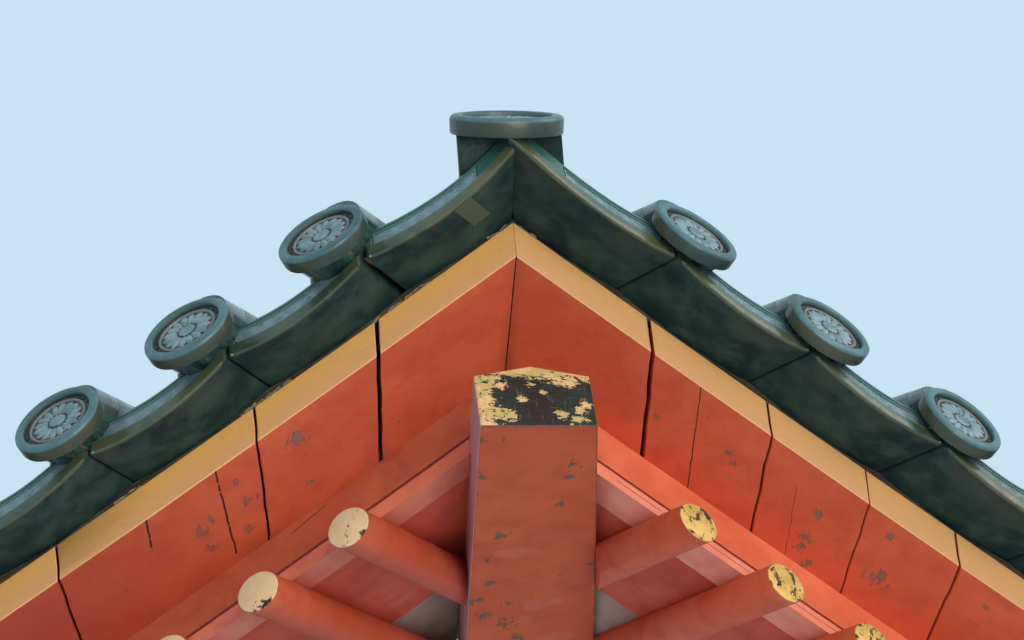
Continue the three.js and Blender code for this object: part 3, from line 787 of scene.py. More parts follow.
def pick(piece, kind, test):
    """Selects, in edit mode, the vertices, edges or faces that pass a test on centre and normal."""
    bpy.context.tool_settings.mesh_select_mode = (kind == "VERT", kind == "EDGE", kind == "FACE")
    bpy.ops.mesh.select_all(action="DESELECT")
    mesh = bmesh.from_edit_mesh(piece.data)
    parts = {"VERT": mesh.verts, "EDGE": mesh.edges, "FACE": mesh.faces}[kind]
    for part in parts:
        if kind == "VERT":
            chosen = test(part.co, part.normal)
        elif kind == "EDGE":
            ends = [vertex.co for vertex in part.verts]
            chosen = test((ends[0] + ends[1]) / 2, (ends[1] - ends[0]).normalized())
        else:
            chosen = test(part.calc_center_median(), part.normal)
        if chosen:
            part.select_set(True)
    mesh.select_flush_mode()
    bmesh.update_edit_mesh(piece.data)


def cut(point, normal, **options):
    """Bisects what is selected, by default without taking anything away, and selects all again."""
    bpy.ops.mesh.bisect(plane_co=point, plane_no=normal, **options)
    bpy.ops.mesh.select_all(action="SELECT")


def ease(width, segments=2):
    """Bevels the picked edges."""
    bpy.ops.mesh.bevel(offset=width, segments=segments, affect="EDGES")


def cut_away(piece, point, normal):
    """Takes away the side of a plane that its normal points to, and closes the cut."""
    with editing(piece):
        cut(point, normal, use_fill=True, clear_outer=True)


def drawn(name, points):
    """A line of edges from point to point, each drawn out of the last."""
    line = start(name, bpy.ops.mesh.primitive_plane_add, size=0.001)
    with editing(line):
        bpy.ops.mesh.merge(type="CENTER")
        here = Vector(points[0])
        bpy.ops.transform.translate(value=here)
        for point in points[1:]:
            step = Vector(point) - here
            bpy.ops.mesh.extrude_vertices_move(TRANSFORM_OT_translate={"value": step})
            here = Vector(point)
    return line


def modified(piece, kind, **settings):
    """Puts a modifier on a piece and applies it."""
    take(piece)
    bpy.ops.object.modifier_add(type=kind)
    modifier = piece.modifiers[-1]
    for key, value in settings.items():
        setattr(modifier, key, value)
    bpy.ops.object.modifier_apply(modifier=modifier.name)
    return piece


def mended(piece):
    """Merges doubles and turns the faces outward."""
    with editing(piece):
        bpy.ops.mesh.remove_doubles(threshold=MERGE)
        bpy.ops.mesh.normals_make_consistent(inside=False)
    return piece


def copied(piece, name):
    """A copy with a mesh of its own."""
    take(piece)
    bpy.ops.object.duplicate()
    copy = bpy.context.object
    copy.name = copy.data.name = name
    return copy


def joined(name, parts):
    take(*parts)
    if len(parts) > 1:
        bpy.ops.object.join()
    piece = bpy.context.object
    piece.name = piece.data.name = name
    return piece


def settled(piece):
    """Puts the piece's place and turn into its mesh."""
    take(piece)
    bpy.ops.object.transform_apply(location=True, rotation=True, scale=True)
    return piece


def remember_place(piece):
    """Keeps where each point is now, for patterns that follow the piece."""
    mesh = piece.data
    kept = mesh.attributes.get(OWN_PLACE) or mesh.attributes.new(OWN_PLACE, "FLOAT_VECTOR", "POINT")
    kept.data.foreach_set("vector", [number for vertex in mesh.vertices for number in vertex.co])


def laid(piece, side, lower=lambda t, u: 0.0):
    """Lays a piece modelled straight, as along, inward and up, on its curved wing."""
    remember_place(piece)
    for vertex in piece.data.vertices:
        t, u, z = vertex.co
        vertex.co = place(t, u, z + lower(t, u), side)
    if side == "left":
        with editing(piece):
            bpy.ops.mesh.flip_normals()
    return piece


def paint_faces(piece, finish, test):
    """Gives another finish to the faces whose place on the straight piece passes a test."""
    piece.data.materials.append(finish)
    kept = piece.data.attributes[OWN_PLACE].data
    for face in piece.data.polygons:
        corners = [kept[number].vector for number in face.vertices]
        if test(sum(corners, Vector()) / len(corners)):
            face.material_index = len(piece.data.materials) - 1


def finished(piece, finish, smooth=40):
    """Shades, paints and hands over a piece that is in place."""
    take(piece)
    bpy.ops.object.shade_smooth_by_angle(angle=math.radians(smooth))
    if finish:
        piece.data.materials.clear()
        piece.data.materials.append(finish)
    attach(piece, "root")
    return piece


def from_solid(name, node):
    """A piece that starts as the solid's own shape, with its flat faces whole."""
    take(frame["nodes"][node])
    bpy.ops.object.duplicate()
    piece = bpy.context.object
    piece.name = piece.data.name = name
    bpy.ops.object.parent_clear(type="CLEAR_KEEP_TRANSFORM")
    settled(piece)
    with editing(piece):
        bpy.ops.mesh.remove_doubles(threshold=MERGE)
        bpy.ops.mesh.dissolve_limited(angle_limit=math.radians(0.5))
        bpy.ops.mesh.normals_make_consistent(inside=False)
    return piece


def sag(t, side):
    """Height of a pan's underside over its seat: low mid-bay, high at the joints, flared at the hip."""
    if t < FIRST_JOINT:
        share = min(1.0, (FIRST_JOINT - t) / (FIRST_JOINT - LIP_FRONT / math.tan(HALF_CORNER)))
        return (PAN_SAG if share < 0.5 else CORNER_FLARE[side]) * (2 * share - 1) ** 2
    share = ((t - FIRST_JOINT) % BAY) / BAY
    return PAN_SAG * (2 * share - 1) ** 2


def on_seat(t, u, side):
    return TILE_SEAT + TILE_SLOPE * u + sag(t, side)


def along_eave(side):
    """Level direction along an eave, away from the corner."""
    return Vector((SIDES[side] * SIN, COS, 0))


def inward(side):
    """Level direction square to an eave, in under the roof."""
    return Vector((-SIDES[side] * COS, SIN, 0))


# Eave boards

BOARD_STRIP = 0.012
WANDER = ((16, 0.0030), (55, 0.0012))
HEALED = {"left": (3, 4), "right": ()}
HEAL_REACH = 0.0036
BOARD_EDGE = 0.0016


def wandering(piece, side):
    """Lets the joints between boards wander a little, as old sawn edges do."""
    direction = along_eave(side)
    for vertex in piece.data.vertices:
        place_now = vertex.co.copy()
        held = min(1.0, abs(place_now.x - CORNER.x) / 0.05)
        shift = sum(depth * noise.noise(place_now * scale) for scale, depth in WANDER)
        vertex.co += direction * (shift * held)


def soften(piece, width, segments=2, sharp=35):
    with editing(piece):
        bpy.context.tool_settings.mesh_select_mode = (False, True, False)
        bpy.ops.mesh.select_all(action="DESELECT")
        bpy.ops.mesh.edges_select_sharp(sharpness=math.radians(sharp))
        ease(width, segments)


def eave_boards(side, finish):
    """The fanned boards of one eave, with wandering joints; two of the left ones have grown shut."""
    boards = []
    for number in range(1, BOARD_COUNT + 1):
        board = from_solid("board", f"eave_board_{side}_{number}")
        with editing(board):
            strip = BOARD_STRIP
            while strip < BOARD_TAIL:
                cut(CORNER + inward(side) * strip, inward(side))
                strip += BOARD_STRIP
        boards.append(board)
    if HEALED[side]:
        near, far = (boards[number - 1] for number in HEALED[side])
        healed = joined("board", [near, far])
        with editing(healed):
            bpy.ops.mesh.remove_doubles(threshold=HEAL_REACH)
            bpy.context.tool_settings.mesh_select_mode = (False, False, True)
            bpy.ops.mesh.select_all(action="DESELECT")
            bpy.ops.mesh.select_interior_faces()
            bpy.ops.mesh.delete(type="FACE")
        boards = [board for board in boards if board not in (near, far)] + [healed]
    row = joined(f"eave_boards_{side}", boards)
    wandering(row, side)
    soften(row, BOARD_EDGE, 1)
    finished(row, finish, 30)
    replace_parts(row, *[f"eave_board_{side}_{number}" for number in range(1, BOARD_COUNT + 1)])


# Rafters

RAFTER_SIDES = 48
RAFTER_EDGE = 0.003


def hip_side(side):
    """A point and the outward direction of a side of the hip rafter."""
    hand = SIDES[side]
    widening = (HIP_HALF_WIDTH_TAIL - HIP_HALF_WIDTH_TIP) / (HIP_TAIL - HIP_TIP)
    turn = Matrix.Rotation(-HIP_TURN, 3, "Z")
    point = turn @ Vector((hand * (HIP_HALF_WIDTH_TIP + GAP), HIP_TIP, 0))
    return CORNER + point, turn @ Vector((hand, -widening, 0))


def round_rafters(side, finish):
    """Turned rafters, a little off square on the right, with upright ends and eased arrises."""
    point, outward = hip_side(side)
    reach = INNER_EDGE - RAFTER_TIP
    for number in range(RAFTER_COUNT):
        t = FIRST_RAFTER + number * RAFTER_SPACING
        fan = min(RAFTER_FAN[side], (WING_END - RAFTER_DIAMETER / 2 - t) / reach)
        tip = place(t, RAFTER_TIP, RAFTER_TIP_AXIS, side)
        tail = tip + (along_eave(side) * fan + inward(side) + Vector((0, 0, RAFTER_SLOPE))) * reach
        rafter = start(f"round_rafter_{side}_{number + 1}", bpy.ops.mesh.primitive_cylinder_add,
                       vertices=RAFTER_SIDES, radius=RAFTER_DIAMETER / 2, depth=2 * reach,
                       location=(tip + tail) / 2, rotation=(tail - tip).to_track_quat("Z", "Y").to_euler())
        settled(rafter)
        cut_away(rafter, CORNER + inward(side) * RAFTER_TIP, -inward(side))
        cut_away(rafter, CORNER + inward(side) * INNER_EDGE, inward(side))
        cut_away(rafter, point, -outward)
        soften(rafter, RAFTER_EDGE, 2, 50)
        finished(rafter, finish, 40)
        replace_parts(rafter, f"rafter_{side}_{number + 1}")


# Batten and mortar under the tiles

BATTEN_FRONT = 0.002
BATTEN_DEPTH = 0.060
BATTEN_STEP = 0.007
BATTEN_FOOT = 0.0007
MORTAR = {"left": ((0.02, 0.06), (0.19, 0.31), (0.50, 0.60), (0.83, 0.88)), "right": ((0.02, 0.05),)}
CRUMB_SIZES = (0.0022, 0.0048)
CRUMB_INWARD = (0.001, 0.005)
CRUMB_UP = (0.003, 0.010)
CRUMB_SEEDS = {"left": 11, "right": 12}


def crumbling(t, side):
    """How far the batten's upper edge has crumbled away under the tiles."""
    wave = noise.noise(Vector((t * 5.5, 0.3 if side == "right" else 4.1, 0)))
    ragged = noise.noise(Vector((t * 46, 2.0, 0)))
    return 0.0012 + 0.0014 * max(0, wave) + 0.0012 * max(0, ragged)


def batten(side, finish):
    """The strip along the boards' top arris, filled up to the tiles, its upper edge crumbled."""
    strip = start(f"eave_batten_{side}", bpy.ops.mesh.primitive_grid_add,
                  x_subdivisions=int(WING_END / BATTEN_STEP), y_subdivisions=1, size=1)
    strip.scale = (WING_END, BATTEN_DEPTH, 1)
    strip.location = (WING_END / 2, BATTEN_FRONT + BATTEN_DEPTH / 2, BATTEN_FOOT)
    settled(strip)
    with editing(strip):
        bpy.ops.mesh.extrude_region_move(TRANSFORM_OT_translate={"value": (0, 0, 0.001)})
    mended(strip)
    for vertex in strip.data.vertices:
        t, u, z = vertex.co
        if z > 0.001:
            vertex.co.z = underside(t, u, side) - BOARD_RISE * u - crumbling(t, side)
        if u < 0.01:
            vertex.co.y += 0.0012 + 0.0012 * noise.noise(Vector((t * 60, z * 90, 7)))
    laid(strip, side, lambda t, u: BOARD_RISE * u)
    cut_away(strip, CORNER, (-SIDES[side], 0, 0))
    finished(strip, finish, 30)
    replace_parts(strip, f"tile_batten_{side}")


def mortar(side, finish):
    """Crumbs of bedding mortar squeezed out along the batten."""
    dice = random.Random(CRUMB_SEEDS[side])
    crumbs = []
    for near, far in MORTAR[side]:
        t = near
        while t < far:
            size = dice.uniform(*CRUMB_SIZES)
            crumb = start("crumb", bpy.ops.mesh.primitive_ico_sphere_add, subdivisions=2, radius=size,
                          location=(t, dice.uniform(*CRUMB_INWARD), dice.uniform(*CRUMB_UP)))
            crumb.scale = (dice.uniform(1.0, 2.2), 0.8, dice.uniform(0.5, 0.8))
            settled(crumb)
            for vertex in crumb.data.vertices:
                vertex.co += Vector((1, 1, 1)) * (0.35 * size * noise.noise(vertex.co * 160))
            crumbs.append(crumb)
            t += size * dice.uniform(0.9, 2.4)
    lumps = joined(f"mortar_{side}", crumbs)
    laid(lumps, side)
    return finished(lumps, finish, 60)


# Round tile ends

LOTUS_PROFILE = (
    (0.0, 0.0110), (0.0530, 0.0110), (0.0545, 0.0076), (0.0592, 0.0076), (0.0607, 0.0125), (0.0680, 0.0130),
    (0.0698, 0.0115), (0.0708, 0.0022), (0.0728, 0.0004), (0.0790, 0.0), (0.0840, 0.0008), (0.0875, 0.0034),
    (0.0890, 0.0075), (0.0885, 0.0270), (0.0870, 0.0310), (0.0840, 0.0320), (0.0, 0.0320),
)
LOTUS_STEPS = 72
PETALS = 8
PETAL_SIZE = (0.0075, 0.0046, 0.0165)
PETAL_WIDE_FROM = 0.002
PETAL_WIDENING = (1.16, 1.1, 1.0)
PETAL_PLACE = (0, 0.0102, 0.0360)
PETAL_TURN = 0.185
TIP_RADIUS = 0.0055
TIP_HEIGHT = 0.010
TIP_FLATTENING = 0.55
TIP_PLACE = (0, 0.0106, 0.0475)
POD_PROFILE = ((0.0, 0.0060), (0.0140, 0.0060), (0.0168, 0.0078), (0.0172, 0.0118))
POD_STEPS = 24
SEEDS = 6
SEED_RADIUS = 0.0024
SEED_DEPTH = 0.0062
SEED_RING = 0.0095
CORD_MARKS = 60
CORD_RADIUS = 0.0017
CORD_PLACE = (0, 0.0078, 0.0568)
CLOUDS = 22
CLOUD_RADIUS = 0.0042
CLOUD_PLACE = (0, 0.0122, 0.0648)
CLOUD_STRETCH = (1.45, 0.55, 0.7)


def spun(piece, axis, steps, turn=2 * math.pi, copies=False):
    with editing(piece):
        bpy.ops.mesh.spin(steps=steps, angle=turn, dupli=copies, center=(0, 0, 0), axis=axis)
    return piece


def ring_of(piece, count):
    """Repeats a small form around the axis of a round tile end."""
    return spun(piece, (0, 1, 0), count - 1, 2 * math.pi * (count - 1) / count, copies=True)


def bead(name, radius, middle):
    """A small round bead, in place."""
    ball = bpy.ops.mesh.primitive_ico_sphere_add
    return settled(start(name, ball, subdivisions=1, radius=radius, location=middle))


def lotus_end():
    """A round tile end at the origin, its face toward -Y: rim, cord ring, eight double petals, seeds."""
    body = drawn("lotus_body", [(radius, depth, 0) for radius, depth in LOTUS_PROFILE])
    mended(spun(body, (0, 1, 0), LOTUS_STEPS))
    parts = [body]
    for hand in (-1, 1):
        petal = start("petal", bpy.ops.mesh.primitive_uv_sphere_add, segments=10, ring_count=8, radius=1)
        with editing(petal):
            bpy.ops.transform.resize(value=PETAL_SIZE)
            pick(petal, "VERT", lambda point, normal: point.z > PETAL_WIDE_FROM)
            bpy.ops.transform.resize(value=PETAL_WIDENING)
            bpy.ops.mesh.select_all(action="SELECT")
            bpy.ops.transform.translate(value=PETAL_PLACE)
            bpy.ops.transform.rotate(value=hand * PETAL_TURN, orient_axis="Y", center_override=(0, 0, 0))
        parts.append(ring_of(petal, PETALS))
    tip = start("petal_tip", bpy.ops.mesh.primitive_cone_add, vertices=4,
                radius1=TIP_RADIUS, depth=TIP_HEIGHT)
    with editing(tip):
        bpy.ops.transform.resize(value=(1, TIP_FLATTENING, 1))
        bpy.ops.transform.translate(value=TIP_PLACE)
        bpy.ops.transform.rotate(value=math.pi / PETALS, orient_axis="Y", center_override=(0, 0, 0))
    parts.append(ring_of(tip, PETALS))
    pod = drawn("pod", [(radius, depth, 0) for radius, depth in POD_PROFILE])
    parts.append(mended(spun(pod, (0, 1, 0), POD_STEPS)))
    parts.append(bead("seed", SEED_RADIUS, (0, SEED_DEPTH, 0)))
    parts.append(ring_of(bead("seed", SEED_RADIUS, (0, SEED_DEPTH, SEED_RING)), SEEDS))
    parts.append(ring_of(bead("cord_mark", CORD_RADIUS, CORD_PLACE), CORD_MARKS))
    cloud = start("rim_cloud", bpy.ops.mesh.primitive_uv_sphere_add, segments=8, ring_count=5,
                  radius=CLOUD_RADIUS, location=CLOUD_PLACE)
    with editing(cloud):
        bpy.ops.transform.resize(value=CLOUD_STRETCH)
    parts.append(ring_of(settled(cloud), CLOUDS))
    end = joined("lotus_end", parts)
    remember_place(end)
    return end


def tile_ends(master, side, finish):
    """The row of round ends along one eave, each square to the eave and leaning back a little."""
    hand = SIDES[side]
    ends = []
    for number in range(COVER_COUNT):
        t = FIRST_JOINT + COVER_OFFSET + number * BAY + END_SHIFT[side][number]
        end = copied(master, f"end_{side}_{number}")
        tilt = END_TILT - END_TILT_FADE * (t - END_TILT_FROM)
        end.rotation_euler = (-tilt, 0, hand * (math.pi / 2 - HALF_CORNER))
        end.location = place(t, END_AT[side], COVER_AXIS + TILE_SLOPE * END_AT[side], side)
        ends.append(settled(end))
    return finished(joined(f"lotus_ends_{side}", ends), finish, 35)


# Cover tiles

COVER_ARC = 18
COVER_LEG = 0.072
COVER_GAP = 0.001
COVER_EDGE = 0.003
NECK_SIDES = 32
NECK_INSIDE = 0.004
COVER_BREAKS = (-0.155, 0.010, 0.275, 0.540, 0.805, INNER_EDGE)


def horseshoe(radius, leg):
    """Closed outline across a cover tile, as across and up."""
    arc = [(radius * math.cos(math.pi * k / COVER_ARC), radius * math.sin(math.pi * k / COVER_ARC))
           for k in range(COVER_ARC + 1)]
    return [(radius, -leg), *arc, (-radius, -leg)]


def bar(name, outline, length, bevel):
    """A closed outline in X and Z, filled and drawn out along Y, with its end edges softened."""
    piece = drawn(name, [(x, 0, z) for x, z in outline])
    with editing(piece):
        bpy.ops.mesh.edge_face_add()
        bpy.ops.mesh.extrude_region_move(TRANSFORM_OT_translate={"value": (0, length, 0)})
    mended(piece)
    if bevel:
        with editing(piece):
            pick(piece, "EDGE", lambda centre, along: min(centre.y, length - centre.y) < 1e-5)
            ease(bevel)
    return piece


def cover_tiles(side, finish):
    """Rows of half-round tiles over the pan joints, behind the round ends."""
    rows = []
    for number in range(COVER_COUNT):
        middle = FIRST_JOINT + COVER_OFFSET + number * BAY + END_SHIFT[side][number]
        front = END_AT[side] + END_THICKNESS - NECK_INSIDE
        angles = [2 * math.pi * k / NECK_SIDES for k in range(NECK_SIDES)]
        circle = [(COVER_RADIUS * math.cos(angle), COVER_RADIUS * math.sin(angle)) for angle in angles]
        neck = bar("neck", circle, COVER_BREAKS[0] - front, 0)
        spans = [(neck, front)]
        for near, far in zip(COVER_BREAKS, COVER_BREAKS[1:]):
            tile = bar("cover", horseshoe(COVER_RADIUS, COVER_LEG), far - near - COVER_GAP, COVER_EDGE)
            spans.append((tile, near))
        for tile, front in spans:
            for vertex in tile.data.vertices:
                vertex.co.x += middle
                vertex.co.y += front
        row = joined("row", [tile for tile, front in spans])
        laid(row, side, lambda t, u: COVER_AXIS + TILE_SLOPE * u)
        clear = CORNER + Vector((HIP_COVER_RADIUS * SIDES[side], 0, 0))
        cut_away(row, clear, (-SIDES[side], 0, 0))
        rows.append(row)
    return finished(joined(f"cover_tiles_{side}", rows), finish)


# Pan tiles

PAN_BACK = 0.060
LIP_BAND = 0.031
LIP_LEDGE = 0.002
SET_BACK = 0.008
RIM_BAND = 0.007
SAG_FADE = 0.70
PANEL_FRAME = ((0.0012, -0.0026), (0.0030, 0.0), (0.0012, 0.0016), (0.0016, 0.0), (0.0014, -0.0032))
PANEL_SINK = -sum(depth for width, depth in PANEL_FRAME)
PAN_CUTS = 18
LIP_END_ROUND = 0.008
LIP_EDGE = 0.009
PAN_EDGE = 0.003
CORNER_FROM = -0.160
CORNER_PANEL = -0.004
PANEL_MARGINS = (0.016, 0.012)
MITRE_GAP = 0.0012
MITRE_OPENING = math.radians(1.8)
UNDERSIDE_FROM = 0.011
UNDERSIDE_TOP = 0.020
SCROLL_RADIUS = 0.0108
SCROLL_TURNS = 1.4
SCROLL_STEPS = 18
SCROLL_SPACING = 0.031
SCROLL_RIDGE = (0.0011, 0.0034)


def scroll():
    """A raised spiral ridge in X and Z, its foot at the origin's depth."""
    points = []
    for step in range(SCROLL_STEPS + 1):
        share = step / SCROLL_STEPS
        radius = SCROLL_RADIUS * (1 - 0.74 * share)
        angle = 2 * math.pi * SCROLL_TURNS * share
        points.append((radius * math.cos(angle), 0, radius * math.sin(angle)))
    ridge = drawn("scroll", points)
    with editing(ridge):
        bpy.ops.mesh.extrude_edges_move(TRANSFORM_OT_translate={"value": (0, -SCROLL_RIDGE[0], 0)})
    modified(ridge, "SOLIDIFY", thickness=SCROLL_RIDGE[1], offset=0)
    return mended(ridge)


def scrolled(pan, master, near, far):
    """The pan with a row of scrolls on its panel, each turned against the last."""
    middle = (LIP_BAND + LIP_LEDGE + LIP_HEIGHT - RIM_BAND) / 2
    border = sum(width for width, depth in PANEL_FRAME)
    count = int((far - near - 2 * border) / SCROLL_SPACING)
    row = [pan]
    for number in range(count):
        turned = copied(master, "scroll")
        turned.rotation_euler = (0, math.pi * (number % 2), 0)
        along = (near + far) / 2 + (number - (count - 1) / 2) * SCROLL_SPACING
        turned.location = (along, LIP_FRONT + SET_BACK + PANEL_SINK + 0.0004, middle)
        row.append(settled(turned))
    return joined(pan.name, row)


def eave_pan(name, near, far, panel_near, panel_far, master):
    """One hanging pan tile, straight: a slab with a rim, a framed panel and a thick lower lip in front."""
    depth = PAN_BACK - LIP_FRONT
    pan = start(name, bpy.ops.mesh.primitive_cube_add, size=1,
                location=((near + far) / 2, LIP_FRONT + depth / 2, LIP_HEIGHT / 2))
    pan.scale = (far - near, depth, LIP_HEIGHT)
    settled(pan)
    with editing(pan):
        for height in (LIP_BAND, LIP_BAND + LIP_LEDGE, LIP_HEIGHT - RIM_BAND):
            cut((0, 0, height), (0, 0, 1))
        stations = [near + (far - near) * number / PAN_CUTS for number in range(1, PAN_CUTS)]
        for along in (panel_near, panel_far, *stations):
            cut((along, 0, 0), (1, 0, 0))
        pick(pan, "VERT", lambda point, normal: point.y < LIP_FRONT + NEAR
             and point.z > LIP_BAND + LIP_LEDGE / 2)
        bpy.ops.transform.translate(value=(0, SET_BACK, 0))
        pick(pan, "FACE", lambda centre, normal: normal.y < -0.9 and panel_near < centre.x < panel_far
             and LIP_BAND + LIP_LEDGE < centre.z < LIP_HEIGHT - RIM_BAND)
        for width, depth_step in PANEL_FRAME:
            bpy.ops.mesh.inset(thickness=width, depth=depth_step)
        at_end = lambda centre: min(abs(centre.x - near), abs(centre.x - far)) < NEAR
        pick(pan, "EDGE", lambda centre, along: abs(along.z) > 0.9 and centre.y < LIP_FRONT + NEAR
             and centre.z < LIP_BAND and at_end(centre))
        ease(LIP_END_ROUND, 3)
        pick(pan, "EDGE", lambda centre, along: abs(along.y) > 0.9 and centre.z < NEAR and at_end(centre))
        ease(PAN_EDGE)
        pick(pan, "EDGE", lambda centre, along: abs(along.x) > 0.9 and centre.z < NEAR
             and centre.y < LIP_FRONT + NEAR)
        ease(LIP_EDGE, 3)
        pick(pan, "EDGE", lambda centre, along: abs(along.x) > 0.9 and centre.z > LIP_HEIGHT - NEAR
             and centre.y < LIP_FRONT + SET_BACK + NEAR)
        ease(PAN_EDGE)
    return scrolled(pan, master, panel_near, panel_far)


def underside(t, u, side):
    """Height of the hanging tiles' underside: its curve dies away toward the boards."""
    share = min(1.0, max(0.0, (u - LIP_FRONT) / (PAN_BACK - LIP_FRONT)))
    return on_seat(t, u, side) - sag(t, side) * SAG_FADE * share


def levelled(pan, side):
    """The straight tile with its underside let down as it goes inward."""
    for vertex in pan.data.vertices:
        t, u, z = vertex.co
        if z < LIP_BAND / 2:
            vertex.co.z += underside(t, u, side) - on_seat(t, u, side)
    return pan


def eave_pans(side, finish, under):
    """The hanging row of one eave: a mitred corner tile and a tile for each whole bay."""
    hand = SIDES[side]
    pans = []
    master = scroll()
    corner = eave_pan("corner_pan", CORNER_FROM, FIRST_JOINT - PAN_JOINT / 2, CORNER_PANEL,
                      FIRST_JOINT - PANEL_MARGINS[1], master)
    laid(levelled(corner, side), side, lambda t, u: on_seat(t, u, side))
    opening = HIP_TURN + hand * MITRE_OPENING
    joint = Vector((math.cos(opening), -math.sin(opening), 0))
    cut_away(corner, CORNER + joint * (MITRE_GAP * hand), -joint * hand)
    pans.append(corner)
    for number in range(BAYS - 1):
        near = FIRST_JOINT + number * BAY
        gap = WIDE_JOINT if side == "left" and number == 0 else PAN_JOINT
        pan = eave_pan("pan", near + gap, near + BAY - PAN_JOINT / 2, near + PANEL_MARGINS[0],
                       near + BAY - PANEL_MARGINS[1], master)
        pans.append(laid(levelled(pan, side), side, lambda t, u: on_seat(t, u, side)))
    bpy.data.objects.remove(master)
    row = finished(joined(f"eave_pans_{side}", pans), finish, 35)
    paint_faces(row, under, lambda own: own.y > LIP_FRONT + UNDERSIDE_FROM and own.z < UNDERSIDE_TOP)
    return row


COURSE_FRONTS = (-0.020, 0.165, 0.350, 0.535, 0.720, 0.905)
COURSE_LENGTH = 0.205
COURSE_THICKNESS = 0.020
COURSE_STEP = 0.013
COURSE_CUTS = 12
COURSE_EDGE = 0.004


def upper_pans(side, finish):
    """Overlapping courses of pan tiles up the slope, between the cover rows."""
    hand = SIDES[side]
    pans = []
    for front in COURSE_FRONTS:
        length = min(COURSE_LENGTH, INNER_EDGE - front)
        for number in range(-1, BAYS - 1):
            near = FIRST_JOINT + number * BAY
            pan = start("course", bpy.ops.mesh.primitive_cube_add, size=1,
                        location=(near + BAY / 2, front + length / 2, LIP_HEIGHT - COURSE_THICKNESS / 2))
            pan.scale = (BAY - PAN_JOINT, length, COURSE_THICKNESS)
            settled(pan)
            with editing(pan):
                for step in range(1, COURSE_CUTS):
                    cut((near + BAY * step / COURSE_CUTS, 0, 0), (1, 0, 0))
                pick(pan, "VERT", lambda point, normal: point.y < front + NEAR)
                bpy.ops.transform.translate(value=(0, 0, COURSE_STEP))
                pick(pan, "EDGE", lambda centre, along: abs(along.x) > 0.9 and centre.y < front + NEAR)
                ease(COURSE_EDGE)
            laid(pan, side, lambda t, u: on_seat(t, u, side))
            if number < 2:
                cut_away(pan, CORNER + Vector((0.001 * hand, 0, 0)), (-hand, 0, 0))
            if pan.data.vertices:
                pans.append(pan)
            else:
                bpy.data.objects.remove(pan)
    return finished(joined(f"upper_pans_{side}", pans), finish, 35)


# Hip cover

HIP_COVER_LEG = 0.090
HIP_TILE_EDGE = 0.004
HIP_BREAKS = (0.060, 0.294, 0.528, 0.762, 0.996, HIP_COVER_TAIL)


def hip_tiles(master, finish, end_finish):
    """Large half-round tiles up the hip, the last one flared into a round end over the corner."""
    tiles = []
    rise = math.atan(HIP_COVER_SLOPE)
    for near, far in zip(HIP_BREAKS, HIP_BREAKS[1:]):
        length = (far - near) / math.cos(rise) - COVER_GAP
        tile = bar("hip_tile", horseshoe(HIP_COVER_RADIUS, HIP_COVER_LEG), length, HIP_TILE_EDGE)
        tile.rotation_euler = (rise, 0, 0)
        tile.location = CORNER + Vector((0, near, HIP_AXIS_HEIGHT + HIP_COVER_SLOPE * near))
        tiles.append(settled(tile))
    neck = hip_neck()
    end = copied(master, "hip_end")
    scale = HIP_END["radius"] / END_RADIUS
    end.scale = (scale, HIP_END["thickness"] / END_THICKNESS, scale)
    end.rotation_euler = (-HIP_END["tilt"], 0, 0)
    end.location = CORNER + Vector((HIP_END["y"] * math.tan(HIP_TURN), HIP_END["y"], HIP_END["z"]))
    settled(end)
    cover = finished(joined("hip_cover_tiles", tiles), finish)
    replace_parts(cover, "hip_cover")
    finished(neck, neck_finish())
    finished(end, end_finish, 35)


NECK_LEGS = (0.030, 0.090)
NECK_HOLLOW = -0.001
NECK_REACHES = (0.030, 0.098, 0.148)
NECK_STEPS = 8


def hip_neck():
    """The flared tile from the hip up to its round end."""
    tilt = HIP_END["tilt"]
    end = Vector((0, HIP_END["y"], HIP_END["z"]))
    back = Vector((0, math.cos(tilt), -math.sin(tilt)))
    settle = Vector((0, HIP_BREAKS[0], HIP_AXIS_HEIGHT + HIP_COVER_SLOPE * HIP_BREAKS[0]))
    start_at, bend, guide = (end + back * away for away in NECK_REACHES)
    path = [start_at]
    for step in range(NECK_STEPS + 1):
        share = step / NECK_STEPS
        path.append(bend.lerp(guide, share).lerp(guide.lerp(settle, share), share))
    outline = [*horseshoe(HIP_COVER_RADIUS, 1.0), (0, NECK_HOLLOW)]
    neck = drawn("hip_neck", [(x, 0, z) for x, z in outline])
    with editing(neck):
        bpy.ops.mesh.edge_face_add()
        for _ in path[1:]:
            bpy.ops.mesh.extrude_region_move(TRANSFORM_OT_translate={"value": (0, 1, 0)})
    mended(neck)
    for vertex in neck.data.vertices:
        row = round(vertex.co.y)
        before, after = path[max(0, row - 1)], path[min(len(path) - 1, row + 1)]
        along = (after - before).normalized()
        up = Vector((0, -along.z, along.y))
        reach = vertex.co.z
        if reach < 0 and abs(vertex.co.x) > 1e-4:
            share = row / (len(path) - 1)
            reach = -(NECK_LEGS[0] * (1 - share) + NECK_LEGS[1] * share)
        point = path[row] + up * reach
        point.x = vertex.co.x + min(0, point.y) * math.tan(HIP_TURN)
        vertex.co = CORNER + point
    return mended(neck)


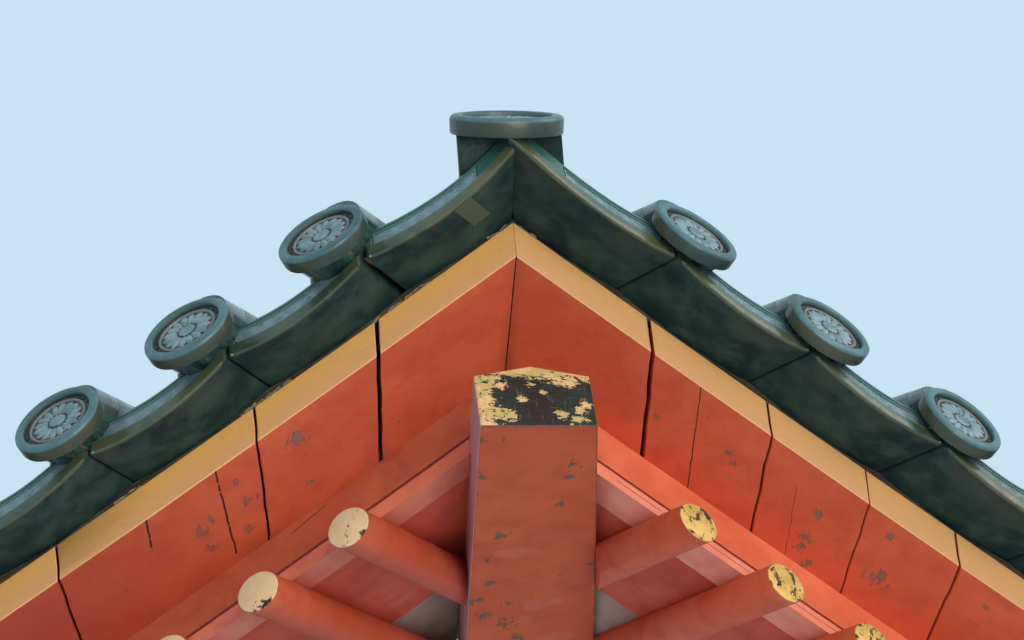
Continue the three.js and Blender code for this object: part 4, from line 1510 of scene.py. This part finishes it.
def add_camera():
    """The photo's view: from below and a little to the left, far off, with a long lens."""
    across = Vector((math.cos(CAMERA_TURN), math.sin(CAMERA_TURN), 0))
    ahead = Vector((-math.sin(CAMERA_TURN), math.cos(CAMERA_TURN), 0))
    aim = ahead * math.cos(CAMERA_PITCH) + Vector((0, 0, math.sin(CAMERA_PITCH)))
    top = Vector((0, 0, math.cos(CAMERA_PITCH))) - ahead * math.sin(CAMERA_PITCH)
    x_axis = across * math.cos(CAMERA_ROLL) + top * math.sin(CAMERA_ROLL)
    y_axis = top * math.cos(CAMERA_ROLL) - across * math.sin(CAMERA_ROLL)
    turn = Matrix((x_axis, y_axis, -aim)).transposed()
    camera = bpy.data.objects.new("camera", bpy.data.cameras.new("camera"))
    camera.matrix_world = Matrix.Translation(CAMERA_PLACE) @ turn.to_4x4()
    camera.data.lens = CAMERA_LENS
    camera.data.sensor_width = SENSOR_WIDTH
    bpy.context.scene.collection.objects.link(camera)
    bpy.context.scene.camera = camera


def add_area_light(name, place_at, aim_at, size, power, colour=(1, 1, 1)):
    light = bpy.data.objects.new(name, bpy.data.lights.new(name, "AREA"))
    light.data.size = size
    light.data.energy = power
    light.data.color = colour
    light.location = place_at
    light.rotation_euler = (Vector(aim_at) - Vector(place_at)).to_track_quat("-Z", "Y").to_euler()
    bpy.context.scene.collection.objects.link(light)


def add_studio():
    """A pale floor far below, a pale sky, and large soft lights."""
    bpy.ops.object.select_all(action="DESELECT")
    bpy.ops.mesh.primitive_plane_add(size=80, location=(0, 0, FLOOR_HEIGHT))
    floor = bpy.context.object
    floor.name = "floor"
    pale = Finish("pale_floor")
    floor.data.materials.append(pale.done(paint(226, 228, 230), 0.9))
    world = bpy.data.worlds.new("sky")
    world.use_nodes = True
    background = world.node_tree.nodes["Background"]
    background.inputs["Color"].default_value = paint(202, 227, 244)
    background.inputs["Strength"].default_value = 1.0
    bpy.context.scene.world = world
    bpy.context.scene.view_settings.view_transform = "Standard"
    add_area_light("under_light", (2.0, -8, -5.0), (0, -0.5, 0), 6, 700, (1.0, 0.90, 0.78))
    add_area_light("side_light", (6, -5, 2.5), (0, -0.5, 0), 5, 200)


def tile_roof():
    """All that is glazed, in place of the plain tile solids."""
    master = lotus_end()
    end_glaze, cover_glaze = lotus_finish(), cover_finish()
    pan_glaze, under_glaze = pan_finish(), underside_finish()
    for side in SIDES:
        tile_ends(master, side, end_glaze)
        cover_tiles(side, cover_glaze)
        upper_pans(side, cover_glaze)
        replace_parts(eave_pans(side, pan_glaze, under_glaze), f"eave_tiles_{side}")
    hip_tiles(master, cover_glaze, end_glaze)
    bpy.data.objects.remove(master)


def timber_work(finishes):
    """Boards, rafters and batten, in place of their plain solids."""
    crumbling, lime = batten_finish(), mortar_finish()
    for side in SIDES:
        eave_boards(side, finishes["eave_board"])
        round_rafters(side, finishes["rafter"])
        batten(side, crumbling)
        mortar(side, lime)


add_camera()
add_studio()
timber_work(dress_solids())
tile_roof()
